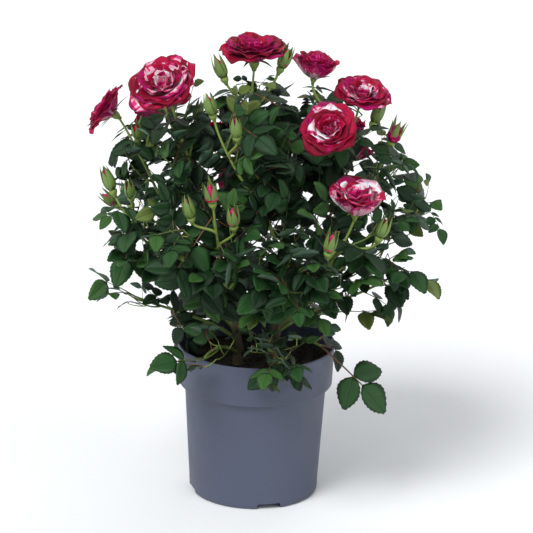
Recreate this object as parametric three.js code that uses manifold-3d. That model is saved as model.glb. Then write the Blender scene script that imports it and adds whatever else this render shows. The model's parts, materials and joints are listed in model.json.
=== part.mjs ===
// A miniature rose bush in the plastic nursery pot that it is sold in: a collared pot filled with
// peat, four short woody stems, one bough for each shoot, and a mass of twigs, compound leaves,
// blooms and buds at the end of each bough.
//
// Millimetres, +Z up. The origin is the middle of the pot's flat underside, +X is to the right and
// -Y is the front. Azimuths are in degrees from +X, so the front is at -90.

import * as THREE from "three";
import { mergeVertices } from "three/addons/utils/BufferGeometryUtils.js";
import Module from "manifold-3d";

const wasm = await Module();
wasm.setup();

// Driving dimensions
const CLEARANCE = 0.35; // between pieces that meet
const SLIVER = 0.01; // joins leave edges shorter than this, which are closed up
const GRIDS = [1e-3, 1e-4]; // a solid stays sound with its corners rounded to these
const SEED = 2603;

const POT = {
  height: 118,
  rimRadius: 60,
  collarFootRadius: 58.4,
  collarHeight: 31,
  collarStep: 4.5, // height of the sloping step under the collar
  shoulderRadius: 53.6, // just under the step
  baseRadius: 48.8,
  baseRounding: 2.5,
  wall: 1.6,
  floor: 6.2,
  segments: 40,
};
const DRAIN = { count: 4, width: 19, height: 4.4, innerRadius: 21, azimuth: -75.4 };
const SOIL_TOP = 104;

const STEM = {
  ring: 19, // distance of each foot from the pot's axis
  height: 56,
  lean: 9, // how much further out the top is
  bow: 0.2, // the share of the lean that is reached at half the height
  footRadius: 4.6,
  neckRadius: 3.1,
  topRadius: 2.2,
  flare: 0.25, // the share of the height over which the foot narrows to the neck
  sides: 7,
  steps: 6,
};
const BOUGH = {
  startRadius: 1.7,
  endRadius: 1.25,
  sides: 5,
  steps: 4,
  firstAt: 0.15, // the share of a woody stem below its lowest bough
  rise: 42, // degrees above the horizon at which a side bough sets off
  least: 0.24, // the shares of a shoot's length that its bough may take
  most: 0.46,
  step: 0.02,
  spread: 10, // a bough ends once its shoot is this far from every other
};
const TWIG = { startRadius: 1.7, endRadius: 1.2, sides: 3, steps: 5 };
const SHOOT = {
  pull: 0.33, // how far its curve keeps to the way that it sets off or arrives
  lift: 0.55, // how much steeper than straight it arrives
  nod: 0.35, // how much it turns to the way that its flower faces
};

const LEAF = {
  internode: 9,
  rachis: 43,
  rootHalfWidth: 0.5, // of the rachis, in the twig
  halfWidth: 0.8, // of the rachis, where its leaflets leave it
  ridge: 1.1, // height of the rachis
  terminal: 31, // length of the end leaflet
  pairs: [
    { at: 0.36, length: 24 }, // the lower side leaflets
    { at: 0.77, length: 28 }, // the upper ones
  ],
  widthShare: 0.86, // of a leaflet's length
  widest: 0.45, // the share of its length at which a leaflet is widest
  thickness: 0.9,
  fold: 0.1, // how far the edges rise above the midrib, as a share of the length
  splay: 66, // degrees between the rachis and a side leaflet
  lean: [55, 95], // degrees between the twig and the rachis
  droop: [0, 1], // how far the rachis points down, as a share of its length
  outward: 0.5, // how much its upper side is turned away from the twig
  roll: 0.8, // how far a leaf may turn about its rachis
  sizes: [0.86, 1.12],
  shrink: 0.3, // how much smaller the leaves at the top of a twig are
  stray: 30, // degrees over which the leaves stray from the golden angle
  smallAbove: 0.8, // the share of a twig above which leaves have three leaflets
  // To find room, a leaf turns by one of these angles, is raised by one of these shares of its
  // length, and grows to one of these shares of its size.
  turns: [0, 50, -50, 100, -100, 150, -150],
  lifts: [0, 0.5],
  shares: [1, 0.8, 0.62],
  tries: 10, // the number of such places, the roomiest first, that are tried
  fewest: 2, // leaflets that a leaf must keep
  fewestNodes: 5,
  bareTop: 26, // length of stalk under a flower that has no leaves
};
const GOLDEN_ANGLE = 137.5;
const SPACE_MARGIN = 0.5; // kept clear on each side of the border between two masses
const LIMB_MARGIN = 0.5; // kept clear around limbs, flowers and the pot
const LINE_POINTS = 9; // points of a shoot that distances are measured from
const NEARLY_STRAIGHT = 0.05; // the sine of the angle between the ends of a straight stalk

// The crown's outline: no leaf reaches out of this ellipsoid.
const CROWN = { centre: [10, 0, 192], radii: [142, 138, 166] };

// A flower is measured across. Its depth is a share of that, from the foot of its calyx to the rim.
const FLOWERS = {
  bloom: { depth: 0.5, cup: 0.16, petals: 5 },
  cup: { depth: 0.72, cup: 0.1, petals: 5 },
};
const FLOWER_SINK = 1.6; // how far the end of a stalk stands inside the calyx
const NOTCH = { inset: 0.84, drop: 0.12 }; // of the rim between two petals
const BUD = { width: 9.5, length: 21, rise: 68, sides: 5 };
const STALK = {
  radius: 0.8,
  from: 0.66, // the share of the twig at which a stalk leaves it
  stagger: 0.12, // every other stalk leaves it this much higher
  sides: 3,
  steps: 3,
};
const SIDE_BUD = {
  stalks: [25.5, 39.1], // shortest and longest
  below: 0.14, // the share of the twig above the first of them
  step: 0.03, // each further one sets off this much lower
  spreads: [26, 42], // degrees from the twig
  turn: 137, // degrees about the twig from one to the next
  stray: 50,
  tries: 8,
};

// The four woody stems, at the corners of a square
const STEM_AZIMUTHS = { front_left: -135, front_right: -45, back_right: 45, back_left: 135 };

// Tips are placed by azimuth, reach from the pot's axis and height. A flower faces an azimuth and
// rises above the horizon.
const bloom = (width, azimuth, reach, height, face, rise) => ({
  kind: "bloom", width, azimuth, reach, height, face, rise,
});
const cup = (width, azimuth, reach, height, face, rise) => ({
  kind: "cup", width, azimuth, reach, height, face, rise,
});
const bud = (azimuth, reach, height) => ({
  kind: "bud", azimuth, reach, height, face: azimuth, rise: BUD.rise,
});
const leafy = (azimuth, reach, height, lift) => ({ kind: "leaf", azimuth, reach, height, lift });

// The shoots of each stem, from its lowest to its leader. The twig of a shoot runs to the first of
// its tips, and stalks to the others. A leafy tip with a lift under 0 hangs down. sideBuds is the
// number of buds that are added by rule.
const SHOOTS = {
  front_left: [
    { name: "rim_front_left", tips: [leafy(-122, 72, 126, -0.6)] },
    { name: "left_low", tips: [leafy(-165, 94, 160, 0)] },
    { name: "left_bud", tips: [bud(-166, 114, 250)], sideBuds: 1 },
    { name: "front_buds", tips: [bud(-112, 92, 260), bud(-122, 95, 247), bud(-102, 88, 243)] },
    { name: "top_left", tips: [bloom(53, -160, 76, 325, -118, 52)], sideBuds: 1 },
  ],
  front_right: [
    { name: "rim_front", tips: [leafy(-78, 69, 129, -0.4)] },
    { name: "rim_right", tips: [leafy(-36, 60, 128, -0.5)] },
    { name: "right_low", tips: [leafy(-14, 102, 180, 0.15)] },
    { name: "front_low", tips: [leafy(-75, 76, 196, 0.2)] },
    {
      name: "front_right_low",
      tips: [cup(40, -38, 90, 249, -70, 80), bud(-60, 104, 226), bud(-33, 108, 228)],
    },
    { name: "front_high", tips: [bud(-126, 62, 316), bud(-106, 64, 303)] },
  ],
  back_right: [
    { name: "rim_back_right", tips: [leafy(62, 80, 142, -0.2)] },
    { name: "right_out", tips: [leafy(3, 114, 224, 0.2)] },
    { name: "back_right_low", tips: [cup(26, 46, 104, 247, 45, 60)], sideBuds: 1 },
    { name: "right_bud", tips: [bud(6, 100, 280)], sideBuds: 1 },
    {
      name: "back_right",
      tips: [bloom(44, 75, 88, 254, 70, 42), cup(30, 38, 80, 274, 30, 70)],
      sideBuds: 1,
    },
    {
      name: "top_right",
      tips: [
        bloom(42, 2, 74, 313, -70, 68),
        cup(32, 14, 41, 331, 0, 80),
        bloom(42, -43, 68, 300, -95, 42),
        bud(3, 86, 297),
      ],
    },
  ],
  back_left: [
    { name: "rim_back_left", tips: [leafy(122, 82, 144, -0.2)] },
    { name: "back_left_low", tips: [bud(158, 108, 218)], sideBuds: 1 },
    { name: "back_low", tips: [bloom(42, 97, 108, 212, 92, 35)], sideBuds: 1 },
    { name: "left", tips: [bloom(42, 180, 114, 298, 178, 35)], sideBuds: 1 },
    { name: "back_left", tips: [bloom(46, 142, 94, 284, 130, 45), bud(158, 84, 308)] },
    {
      name: "back",
      tips: [cup(36, 100, 66, 268, 90, 68), bloom(38, 112, 92, 252, 105, 38)],
      sideBuds: 1,
    },
    { name: "top", tips: [bloom(53, 180, 6, 345, -90, 86), bud(-161, 32, 333), bud(-20, 17, 340)] },
  ],
};

const MATERIALS = {
  pot: new THREE.MeshStandardMaterial({ color: 0x5b6072, roughness: 0.55, metalness: 0 }),
  soil: new THREE.MeshStandardMaterial({ color: 0x2a1f19, roughness: 1, metalness: 0 }),
  bark: new THREE.MeshStandardMaterial({ color: 0x6f6a3a, roughness: 0.8, metalness: 0 }),
  foliage: new THREE.MeshStandardMaterial({ color: 0x2c5a34, roughness: 0.5, metalness: 0 }),
};

const UP = new THREE.Vector3(0, 0, 1);
const { degToRad: radians, lerp } = THREE.MathUtils;

// A repeatable stream of numbers from 0 to 1.
function seeded(seed) {
  let state = seed;
  return () => {
    state = (state * 16807) % 2147483647;
    return state / 2147483647;
  };
}

// The horizontal direction at an azimuth in degrees.
function heading(azimuth) {
  return new THREE.Vector3(Math.cos(radians(azimuth)), Math.sin(radians(azimuth)), 0);
}

// A point at a distance from the axis and a height.
function polar(azimuth, radius, z) {
  return heading(azimuth).multiplyScalar(radius).setZ(z);
}

function along(start, direction, distance) {
  return start.clone().addScaledVector(direction, distance);
}

// A geometry whose faces share their corners. It is welded before it is bent or placed.
function welded(geometry) {
  geometry.deleteAttribute("normal");
  geometry.deleteAttribute("uv");
  return mergeVertices(geometry);
}

// A closed surface turned from a profile of [radius, height] pairs, around +Z.
function turned(profile, sides) {
  const points = profile.map(([radius, height]) => new THREE.Vector2(radius, height));
  return welded(new THREE.LatheGeometry(points, sides)).rotateX(Math.PI / 2);
}

// A closed geometry as a solid that can be cut and joined.
function solidOf(geometry) {
  const corners = [];
  for (let i = 0; i < geometry.index.count; i += 3) {
    const [a, b, c] = [0, 1, 2].map((k) => geometry.index.getX(i + k));
    if (a !== b && b !== c && a !== c) corners.push(a, b, c);
  }
  return new wasm.Manifold(
    new wasm.Mesh({
      numProp: 3,
      vertProperties: new Float32Array(geometry.attributes.position.array),
      triVerts: new Uint32Array(corners),
    }),
  );
}

function geometryOf(solid) {
  const { vertProperties, triVerts } = solid.getMesh();
  return new THREE.BufferGeometry()
    .setAttribute("position", new THREE.BufferAttribute(vertProperties, 3))
    .setIndex(new THREE.BufferAttribute(triVerts, 1));
}

// True where each edge of a solid joins two faces, with its corners rounded to a grid.
function isSound(solid, grid) {
  const { vertProperties, triVerts } = solid.getMesh();
  const corner = (i) => [0, 1, 2].map((k) => Math.round(vertProperties[3 * i + k] / grid)).join();
  const uses = new Map();
  for (let i = 0; i < triVerts.length; i += 3) {
    const face = [0, 1, 2].map((k) => corner(triVerts[i + k]));
    if (new Set(face).size < 3) continue;
    for (const k of [0, 1, 2]) {
      const edge = [face[k], face[(k + 1) % 3]].sort().join(" ");
      uses.set(edge, (uses.get(edge) ?? 0) + 1);
    }
  }
  return [...uses.values()].every((count) => count === 2);
}

// The largest body of a solid: a cut or a join can leave a scrap.
function largestBody(solid) {
  return solid.decompose().reduce((best, body) => (body.volume() > best.volume() ? body : best));
}

function moveVertices(geometry, move) {
  const position = geometry.attributes.position;
  const point = new THREE.Vector3();
  for (let i = 0; i < position.count; i++) {
    move(point.fromBufferAttribute(position, i));
    position.setXYZ(i, point.x, point.y, point.z);
  }
  return geometry;
}

// A tapering limb: a cylinder bent along a stretch of a curve. radiusAt gives the radius at a share
// of the limb, and reference is a direction that the curve never runs in. grow fattens and lengthens.
function bentLimb(curve, from, to, radiusAt, { sides, steps, reference, grow = 0 }) {
  const cylinder = welded(new THREE.CylinderGeometry(1, 1, 1, sides, steps));
  return moveVertices(cylinder, (point) => {
    const share = point.y + 0.5;
    const t = from + (to - from) * share;
    const tangent = curve.getTangent(t);
    const side = new THREE.Vector3().crossVectors(reference, tangent).normalize();
    const other = new THREE.Vector3().crossVectors(tangent, side);
    const radius = radiusAt(share) + grow;
    const beyond = Math.abs(point.y) > 0.499 ? Math.sign(point.y) * grow : 0;
    const { x, z } = point;
    point
      .copy(curve.getPoint(t))
      .addScaledVector(tangent, beyond)
      .addScaledVector(side, z * radius)
      .addScaledVector(other, x * radius);
  });
}

function taper(start, end) {
  return (share) => start + (end - start) * share;
}

// The pot: one turned profile, with drainage channels cut across the underside.
function potSolid(grow = 0) {
  const { height, wall, floor, baseRounding } = POT;
  const stepFoot = height - POT.collarHeight;
  const corner = baseRounding * (1 - Math.SQRT1_2);
  const outer = [
    [POT.baseRadius - baseRounding, 0],
    [POT.baseRadius - corner, corner],
    [POT.baseRadius, baseRounding],
    [POT.shoulderRadius, stepFoot - POT.collarStep],
    [POT.collarFootRadius, stepFoot],
    [POT.rimRadius, height],
  ].map(([r, z]) => [r + grow, z]);
  const inner = [
    [POT.rimRadius - wall, height],
    [POT.collarFootRadius - wall, stepFoot],
    [POT.shoulderRadius - wall, stepFoot - POT.collarStep],
    [POT.baseRadius - wall, floor],
  ].map(([r, z]) => [r - grow, z]);
  const profile = [[0, 0], ...outer, ...inner, [0, floor]];
  const pot = solidOf(turned(profile, POT.segments)).translate(0, 0, grow);
  const channelLength = POT.rimRadius - DRAIN.innerRadius;
  const channels = Array.from({ length: DRAIN.count }, (_, i) =>
    solidOf(
      welded(new THREE.BoxGeometry(channelLength, DRAIN.width, DRAIN.height * 2))
        .translate(DRAIN.innerRadius + channelLength / 2, 0, 0)
        .rotateZ(radians(DRAIN.azimuth + (360 / DRAIN.count) * i)),
    ),
  );
  return pot.subtract(wasm.Manifold.union(channels));
}

// The inner radius of the pot's body at a height under the collar.
function potInnerRadius(z) {
  const top = POT.height - POT.collarHeight - POT.collarStep;
  const share = (z - POT.floor) / (top - POT.floor);
  return POT.baseRadius + (POT.shoulderRadius - POT.baseRadius) * share - POT.wall;
}

// The peat: it fills the pot to a little under the rim, and follows the step in the wall.
function soilSolid() {
  const stepFoot = POT.height - POT.collarHeight;
  const bottom = POT.floor + CLEARANCE;
  const wallAtTop =
    POT.collarFootRadius +
    ((POT.rimRadius - POT.collarFootRadius) * (SOIL_TOP - stepFoot)) / POT.collarHeight -
    POT.wall;
  const side = CLEARANCE * 1.6; // the step slopes, so the level gap is wider than the true one
  const profile = [
    [0, bottom],
    [potInnerRadius(bottom) - side, bottom],
    [POT.shoulderRadius - POT.wall - side, stepFoot - POT.collarStep],
    [POT.collarFootRadius - POT.wall - side, stepFoot],
    [wallAtTop - side, SOIL_TOP],
    [0, SOIL_TOP],
  ];
  return solidOf(turned(profile, POT.segments));
}

// A woody stem rises from the peat and leans a little outwards.
function stemCurve(name) {
  const azimuth = STEM_AZIMUTHS[name];
  const foot = polar(azimuth, STEM.ring, SOIL_TOP);
  const middle = polar(azimuth, STEM.ring + STEM.lean * STEM.bow, SOIL_TOP + STEM.height / 2);
  const tip = polar(azimuth, STEM.ring + STEM.lean, SOIL_TOP + STEM.height);
  return new THREE.QuadraticBezierCurve3(foot, middle, tip);
}

function stemRadius(share) {
  const flare = Math.max(0, 1 - share / STEM.flare) ** 2;
  return taper(STEM.neckRadius, STEM.topRadius)(share) + (STEM.footRadius - STEM.neckRadius) * flare;
}

function stemSolid(name, grow = 0) {
  const { sides, steps } = STEM;
  const reference = heading(STEM_AZIMUTHS[name] + 90);
  const stem = bentLimb(stemCurve(name), 0, 1, stemRadius, { sides, steps, reference, grow });
  // The foot is a level cut at the top of the peat.
  return solidOf(moveVertices(stem, (point) => point.setZ(Math.max(point.z, SOIL_TOP))));
}

// A tip's place, the way that it faces and, for a flower, the foot of its calyx.
function tipOf({ kind, width, azimuth, reach, height, face = azimuth, rise = 0 }) {
  const place = polar(azimuth, reach, height);
  const facing = heading(face).multiplyScalar(Math.cos(radians(rise))).setZ(Math.sin(radians(rise)));
  if (kind === "leaf") return { kind, foot: place, facing };
  const depth = kind === "bud" ? BUD.length : width * FLOWERS[kind].depth;
  return { kind, width, foot: along(place, facing, -depth / 2), facing };
}

// A smooth curve between two places, given the ways that it sets off and arrives.
function bend(start, startWay, end, endWay) {
  const pull = start.distanceTo(end) * SHOOT.pull;
  const leave = along(start, startWay, pull);
  return new THREE.CubicBezierCurve3(start, leave, along(end, endWay, -pull), end);
}

// The curve of a shoot, from the axis of its woody stem to its first tip.
function shootCurve(stem, place, { foot, facing, kind }, lift = SHOOT.lift) {
  const start = stemCurve(stem).getPoint(BOUGH.firstAt + (1 - BOUGH.firstAt) * place);
  const straight = foot.clone().sub(start).normalize();
  const startWay = straight.clone().setZ(0).setLength(Math.cos(radians(BOUGH.rise)));
  startWay.z = Math.sin(radians(BOUGH.rise));
  if (place === 1) startWay.copy(stemCurve(stem).getTangent(1));
  const endWay = along(straight, UP, lift).normalize();
  if (kind !== "leaf") endWay.lerp(facing, SHOOT.nod).normalize();
  return bend(start, startWay, foot, endWay);
}

// All shoots. place runs from 0 for a stem's lowest shoot to 1 for its leader.
const shoots = Object.entries(SHOOTS).flatMap(([stem, family]) =>
  family.map(({ name, tips: leadTips, sideBuds = 0 }, order) => {
    const place = order / (family.length - 1);
    const tips = leadTips.map(tipOf);
    const { azimuth, lift } = leadTips[0];
    const curve = shootCurve(stem, place, tips[0], lift);
    const reference = heading(azimuth + 90);
    return { name, stem, tips, sideBuds, azimuth, curve, length: curve.getLength(), reference };
  }),
);
shoots.forEach((shoot, index) => Object.assign(shoot, { index }));

// The points of a curve from a share of it to its end.
function lineOf({ curve }, from) {
  return Array.from({ length: LINE_POINTS }, (_, i) =>
    curve.getPoint(lerp(from, 1, i / (LINE_POINTS - 1))),
  );
}

function distanceToLine(point, line) {
  const nearest = new THREE.Vector3();
  const stretches = line.slice(1).map((end, i) => new THREE.Line3(line[i], end));
  return Math.min(
    ...stretches.map((stretch) => stretch.closestPointToPoint(point, true, nearest).distanceTo(point)),
  );
}

// A bough ends where its shoot has parted from all others, and its mass starts there.
const wholeLines = shoots.map((shoot) => lineOf(shoot, 0));
for (const shoot of shoots) {
  const others = wholeLines.filter((_, index) => index !== shoot.index);
  const isFree = (point) => others.every((line) => distanceToLine(point, line) > BOUGH.spread);
  shoot.enter = BOUGH.most;
  while (shoot.enter > BOUGH.least && isFree(shoot.curve.getPoint(shoot.enter))) {
    shoot.enter -= BOUGH.step;
  }
}

// A mass's own space is nearer to its twig than to any other, less a margin, and in the crown.
const twigLines = shoots.map((shoot) => lineOf(shoot, shoot.enter));

function inSpace(point, own) {
  if (!insideCrown(point)) return false;
  const reach = distanceToLine(point, twigLines[own.index]) + 2 * SPACE_MARGIN;
  return twigLines.every((line, index) => index === own.index || distanceToLine(point, line) > reach);
}

function insideCrown(point) {
  const { centre, radii } = CROWN;
  return ["x", "y", "z"].reduce((sum, k, i) => sum + ((point[k] - centre[i]) / radii[i]) ** 2, 0) < 1;
}

function boughSolid(shoot, grow = 0) {
  const { sides, steps } = BOUGH;
  const { curve, enter, reference } = shoot;
  const radiusAt = taper(BOUGH.startRadius, BOUGH.endRadius);
  return solidOf(bentLimb(curve, 0, enter, radiusAt, { sides, steps, reference, grow }));
}

function twigSolid(shoot, grow = 0) {
  const { sides, steps } = TWIG;
  const { curve, length, reference } = shoot;
  const from = shoot.enter + (grow ? 0 : CLEARANCE / length);
  const radiusAt = taper(TWIG.startRadius, TWIG.endRadius);
  return solidOf(bentLimb(curve, from, 1, radiusAt, { sides, steps, reference, grow }));
}

// Turns a piece that was made along +Z so that it points along a direction from a place.
function placed(geometry, direction, place) {
  const turn = new THREE.Quaternion().setFromUnitVectors(UP, direction);
  return geometry.applyQuaternion(turn).translate(place.x, place.y, place.z);
}

// An open flower: a calyx, a wide frill of outer petals and a raised heart of inner ones.
function flowerGeometry({ kind, width }, grow) {
  const { depth, cup, petals } = FLOWERS[kind];
  const radius = width / 2 + grow;
  const height = width * depth;
  const profile = [
    [0, -grow],
    [radius * 0.16, height * 0.1],
    [radius * 0.7, height * 0.42],
    [radius, height * (0.66 + cup)],
    [radius * 0.6, height * 0.95],
    [0, height + grow - cup * height],
  ];
  const sides = petals * 2;
  const rim = radius * 0.95;
  return moveVertices(turned(profile, sides), (point) => {
    const out = Math.hypot(point.x, point.y);
    const corner = Math.round((Math.atan2(point.y, point.x) / (2 * Math.PI)) * sides);
    if (out < rim || grow || corner % 2 === 0) return;
    point.multiply(new THREE.Vector3(NOTCH.inset, NOTCH.inset, 1));
    point.z += height * NOTCH.drop;
  });
}

function budGeometry(grow) {
  const radius = BUD.width / 2 + grow;
  const profile = [
    [0, -grow],
    [radius * 0.62, BUD.length * 0.1],
    [radius * 0.55, BUD.length * 0.26],
    [radius, BUD.length * 0.5],
    [0, BUD.length + grow],
  ];
  return turned(profile, BUD.sides);
}

// A bloom, a cup or a bud with its calyx on the end of a stalk.
function flowerSolid(tip, grow) {
  const geometry = tip.kind === "bud" ? budGeometry(grow) : flowerGeometry(tip, grow);
  return solidOf(placed(geometry, tip.facing, along(tip.foot, tip.facing, -FLOWER_SINK)));
}

function stalkSolid(curve, grow) {
  const { radius, sides, steps } = STALK;
  const reference = new THREE.Vector3().crossVectors(curve.getTangent(0), curve.getTangent(1));
  if (reference.length() < NEARLY_STRAIGHT) reference.crossVectors(curve.getTangent(0), UP);
  return solidOf(bentLimb(curve, 0, 1, () => radius, { sides, steps, reference, grow }));
}

// All flowers of a shoot, with stalks to those that aren't on the end of its twig.
function flowerSolids(shoot, grow = 0) {
  return shoot.tips.flatMap((tip, i) => {
    if (tip.kind === "leaf") return [];
    const flower = flowerSolid(tip, grow);
    if (i === 0) return [flower];
    const from = STALK.from + STALK.stagger * (i % 2);
    const start = shoot.curve.getPoint(from);
    const curve = bend(start, shoot.curve.getTangent(from), tip.foot, tip.facing);
    return [flower, stalkSolid(curve, grow)];
  });
}

// The buds that are added by rule beside a shoot's flowers, where they fit.
function sideBuds(shoot, fits) {
  const draw = seeded(SEED + 7 * shoot.index + 3);
  const solids = [];
  for (let tried = 0; tried < SIDE_BUD.tries && solids.length < shoot.sideBuds; tried++) {
    const t = 1 - SIDE_BUD.below - SIDE_BUD.step * tried;
    const spin = shoot.azimuth + 90 + SIDE_BUD.turn * tried + SIDE_BUD.stray * (draw() - 0.5);
    const spread = radians(lerp(...SIDE_BUD.spreads, draw()));
    const reach = lerp(...SIDE_BUD.stalks, draw());
    const start = shoot.curve.getPoint(t);
    const way = shoot.curve.getTangent(t).multiplyScalar(Math.cos(spread));
    way.addScaledVector(heading(spin), Math.sin(spread)).normalize();
    const tip = { kind: "bud", foot: along(start, way, reach), facing: way };
    const pieces = [stalkSolid(new THREE.LineCurve3(start, tip.foot), 0), flowerSolid(tip, 0)];
    if (pieces.every(fits)) solids.push(wasm.Manifold.union(pieces));
  }
  return solids;
}

// A compound leaf as one closed surface: a rachis with a flat underside and a ridge on top, with
// leaflets in pairs and one at its end. It is drawn along +X with +Z up, then placed. kept holds the
// numbers of the leaflets that it has: 0 is the end one, then right and left of each pair.
function leafSolid(leaf, kept) {
  const corners = [];
  const faces = [];
  const corner = (x, y, z) => corners.push(new THREE.Vector3(x, y, z)) - 1;
  const rachis = LEAF.rachis * leaf.size;
  const bottom = -LEAF.ridge / 2;
  const top = LEAF.ridge / 2;

  // Where a leaflet leaves the rachis, [a, b, c] are its foot's right, left and top corners.
  const leaflet = ([a, b, c], number, turn, length) => {
    if (!kept.includes(number)) return faces.push([a, b, c]);
    const foot = corners[a].clone().add(corners[b]).divideScalar(2);
    const at = (x, y, z) => {
      const spot = new THREE.Vector3(x, y, z).applyAxisAngle(UP, radians(turn)).add(foot);
      return corner(spot.x, spot.y, spot.z);
    };
    const widest = length * LEAF.widest;
    const half = (length * LEAF.widthShare) / 2;
    const right = at(widest, -half, length * LEAF.fold);
    const left = at(widest, half, length * LEAF.fold);
    const tip = at(length, 0, 0);
    const back = at(widest, 0, LEAF.thickness);
    faces.push([a, tip, right], [a, b, tip], [b, left, tip]);
    const ring = [c, a, right, tip, left, b];
    ring.forEach((from, i) => faces.push([back, from, ring[(i + 1) % ring.length]]));
  };
  const quad = (a, b, c, d) => faces.push([a, b, c], [a, c, d]);
  const strip = (from, to) => {
    quad(from.right, from.left, to.left, to.right);
    quad(from.right, to.right, to.ridge, from.ridge);
    quad(from.ridge, to.ridge, to.left, from.left);
  };
  const section = (x, half, ridge = corner(x, 0, top)) => ({
    right: corner(x, -half, bottom),
    left: corner(x, half, bottom),
    ridge,
  });

  let last = section(0, LEAF.rootHalfWidth);
  faces.push([last.left, last.right, last.ridge]);
  const pairs = LEAF.pairs.slice(LEAF.pairs.length - (leaf.leaflets - 1) / 2);
  pairs.forEach(({ at, length }, i) => {
    const near = section(rachis * at - LEAF.halfWidth, LEAF.halfWidth, corner(rachis * at, 0, top));
    const far = section(rachis * at + LEAF.halfWidth, LEAF.halfWidth, near.ridge);
    strip(last, near);
    quad(near.right, near.left, far.left, far.right);
    leaflet([near.right, far.right, near.ridge], 2 * i + 1, -LEAF.splay, length * leaf.size);
    leaflet([far.left, near.left, near.ridge], 2 * i + 2, LEAF.splay, length * leaf.size);
    last = far;
  });
  const end = section(rachis, LEAF.halfWidth);
  strip(last, end);
  leaflet([end.right, end.left, end.ridge], 0, 0, LEAF.terminal * leaf.size);

  const side = new THREE.Vector3().crossVectors(leaf.normal, leaf.way).normalize();
  const above = new THREE.Vector3().crossVectors(leaf.way, side);
  const place = new THREE.Matrix4().makeBasis(leaf.way, side, above).setPosition(leaf.base);
  const geometry = new THREE.BufferGeometry().setFromPoints(corners).setIndex(faces.flat());
  return solidOf(geometry.applyMatrix4(place));
}

// The rule for the leaves of a shoot: one compound leaf at each node, turned on by the golden angle.
function nodesOf(shoot) {
  const draw = seeded(SEED + 101 * (shoot.index + 1));
  const top = shoot.tips[0].kind === "leaf" ? 0.99 : 1 - LEAF.bareTop / shoot.length;
  const span = top - shoot.enter;
  const count = Math.max(LEAF.fewestNodes, Math.round((span * shoot.length) / LEAF.internode));
  return Array.from({ length: count }, (_, k) => {
    const high = k / count;
    return {
      t: shoot.enter + (span * (k + 0.6)) / count,
      spin: GOLDEN_ANGLE * k + 60 * shoot.index + LEAF.stray * (draw() - 0.5),
      lean: lerp(...LEAF.lean, draw()),
      size: lerp(...LEAF.sizes, draw()) * (1 - LEAF.shrink * high ** 3),
      roll: LEAF.roll * (2 * draw() - 1),
      droop: lerp(...LEAF.droop, draw()) * (1.1 - 0.6 * high),
      leaflets: high > LEAF.smallAbove ? 3 : 5,
    };
  });
}

// A leaf at a node, with the leaflets that keep to the mass's own space. Its room is their area.
function leafAt(shoot, node, turn, lift, share) {
  const base = shoot.curve.getPoint(node.t);
  const tangent = shoot.curve.getTangent(node.t);
  const side = new THREE.Vector3().crossVectors(shoot.reference, tangent).normalize();
  const other = new THREE.Vector3().crossVectors(tangent, side);
  const spin = radians(node.spin + turn);
  const away = side.multiplyScalar(Math.cos(spin)).addScaledVector(other, Math.sin(spin));
  const way = tangent.multiplyScalar(Math.cos(radians(node.lean)));
  way.addScaledVector(away, Math.sin(radians(node.lean))).addScaledVector(UP, lift - node.droop);
  way.normalize();
  const across = new THREE.Vector3().crossVectors(way, UP).normalize();
  const normal = UP.clone().addScaledVector(away, LEAF.outward).addScaledVector(across, node.roll);
  const leaf = { base, way, normal, size: node.size * share, leaflets: node.leaflets };
  leaf.kept = leafletNumbers(leaf).filter((number) => keepsToSpace(leafSolid(leaf, [number]), shoot));
  return { ...leaf, room: roomOf(leaf) };
}

function roomOf({ size, kept }) {
  return kept.length * size ** 2;
}

// Of the places that a leaf may take at its node, the one that leaves it most room.
function bestLeaf(shoot, node, isClear) {
  const places = LEAF.shares.flatMap((share) =>
    LEAF.lifts.flatMap((lift) => LEAF.turns.map((turn) => leafAt(shoot, node, turn, lift, share))),
  );
  places.sort((a, b) => b.room - a.room);
  let best = { kept: [], room: 0 };
  for (const place of places.slice(0, LEAF.tries)) {
    if (place.room <= best.room) break;
    const kept = place.kept.filter((number) => isClear(leafSolid(place, [number])));
    const room = roomOf({ ...place, kept });
    if (room > best.room) best = { ...place, kept, room };
  }
  return best;
}

function leafletNumbers({ leaflets }) {
  return Array.from({ length: leaflets }, (_, number) => number);
}

function keepsToSpace(solid, shoot) {
  const { vertProperties } = solid.getMesh();
  const point = new THREE.Vector3();
  for (let i = 0; i < vertProperties.length; i += 3) {
    if (!inSpace(point.fromArray(vertProperties, i), shoot)) return false;
  }
  return true;
}

// The things that leaves and side buds keep clear of, each a little fatter than it is.
const fixed = [
  potSolid(LIMB_MARGIN),
  soilSolid().translate(0, 0, LIMB_MARGIN),
  ...Object.keys(STEM_AZIMUTHS).map((name) => stemSolid(name, LIMB_MARGIN)),
  ...shoots.map((shoot) => boughSolid(shoot, LIMB_MARGIN)),
];
const masses = new Map();

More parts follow.
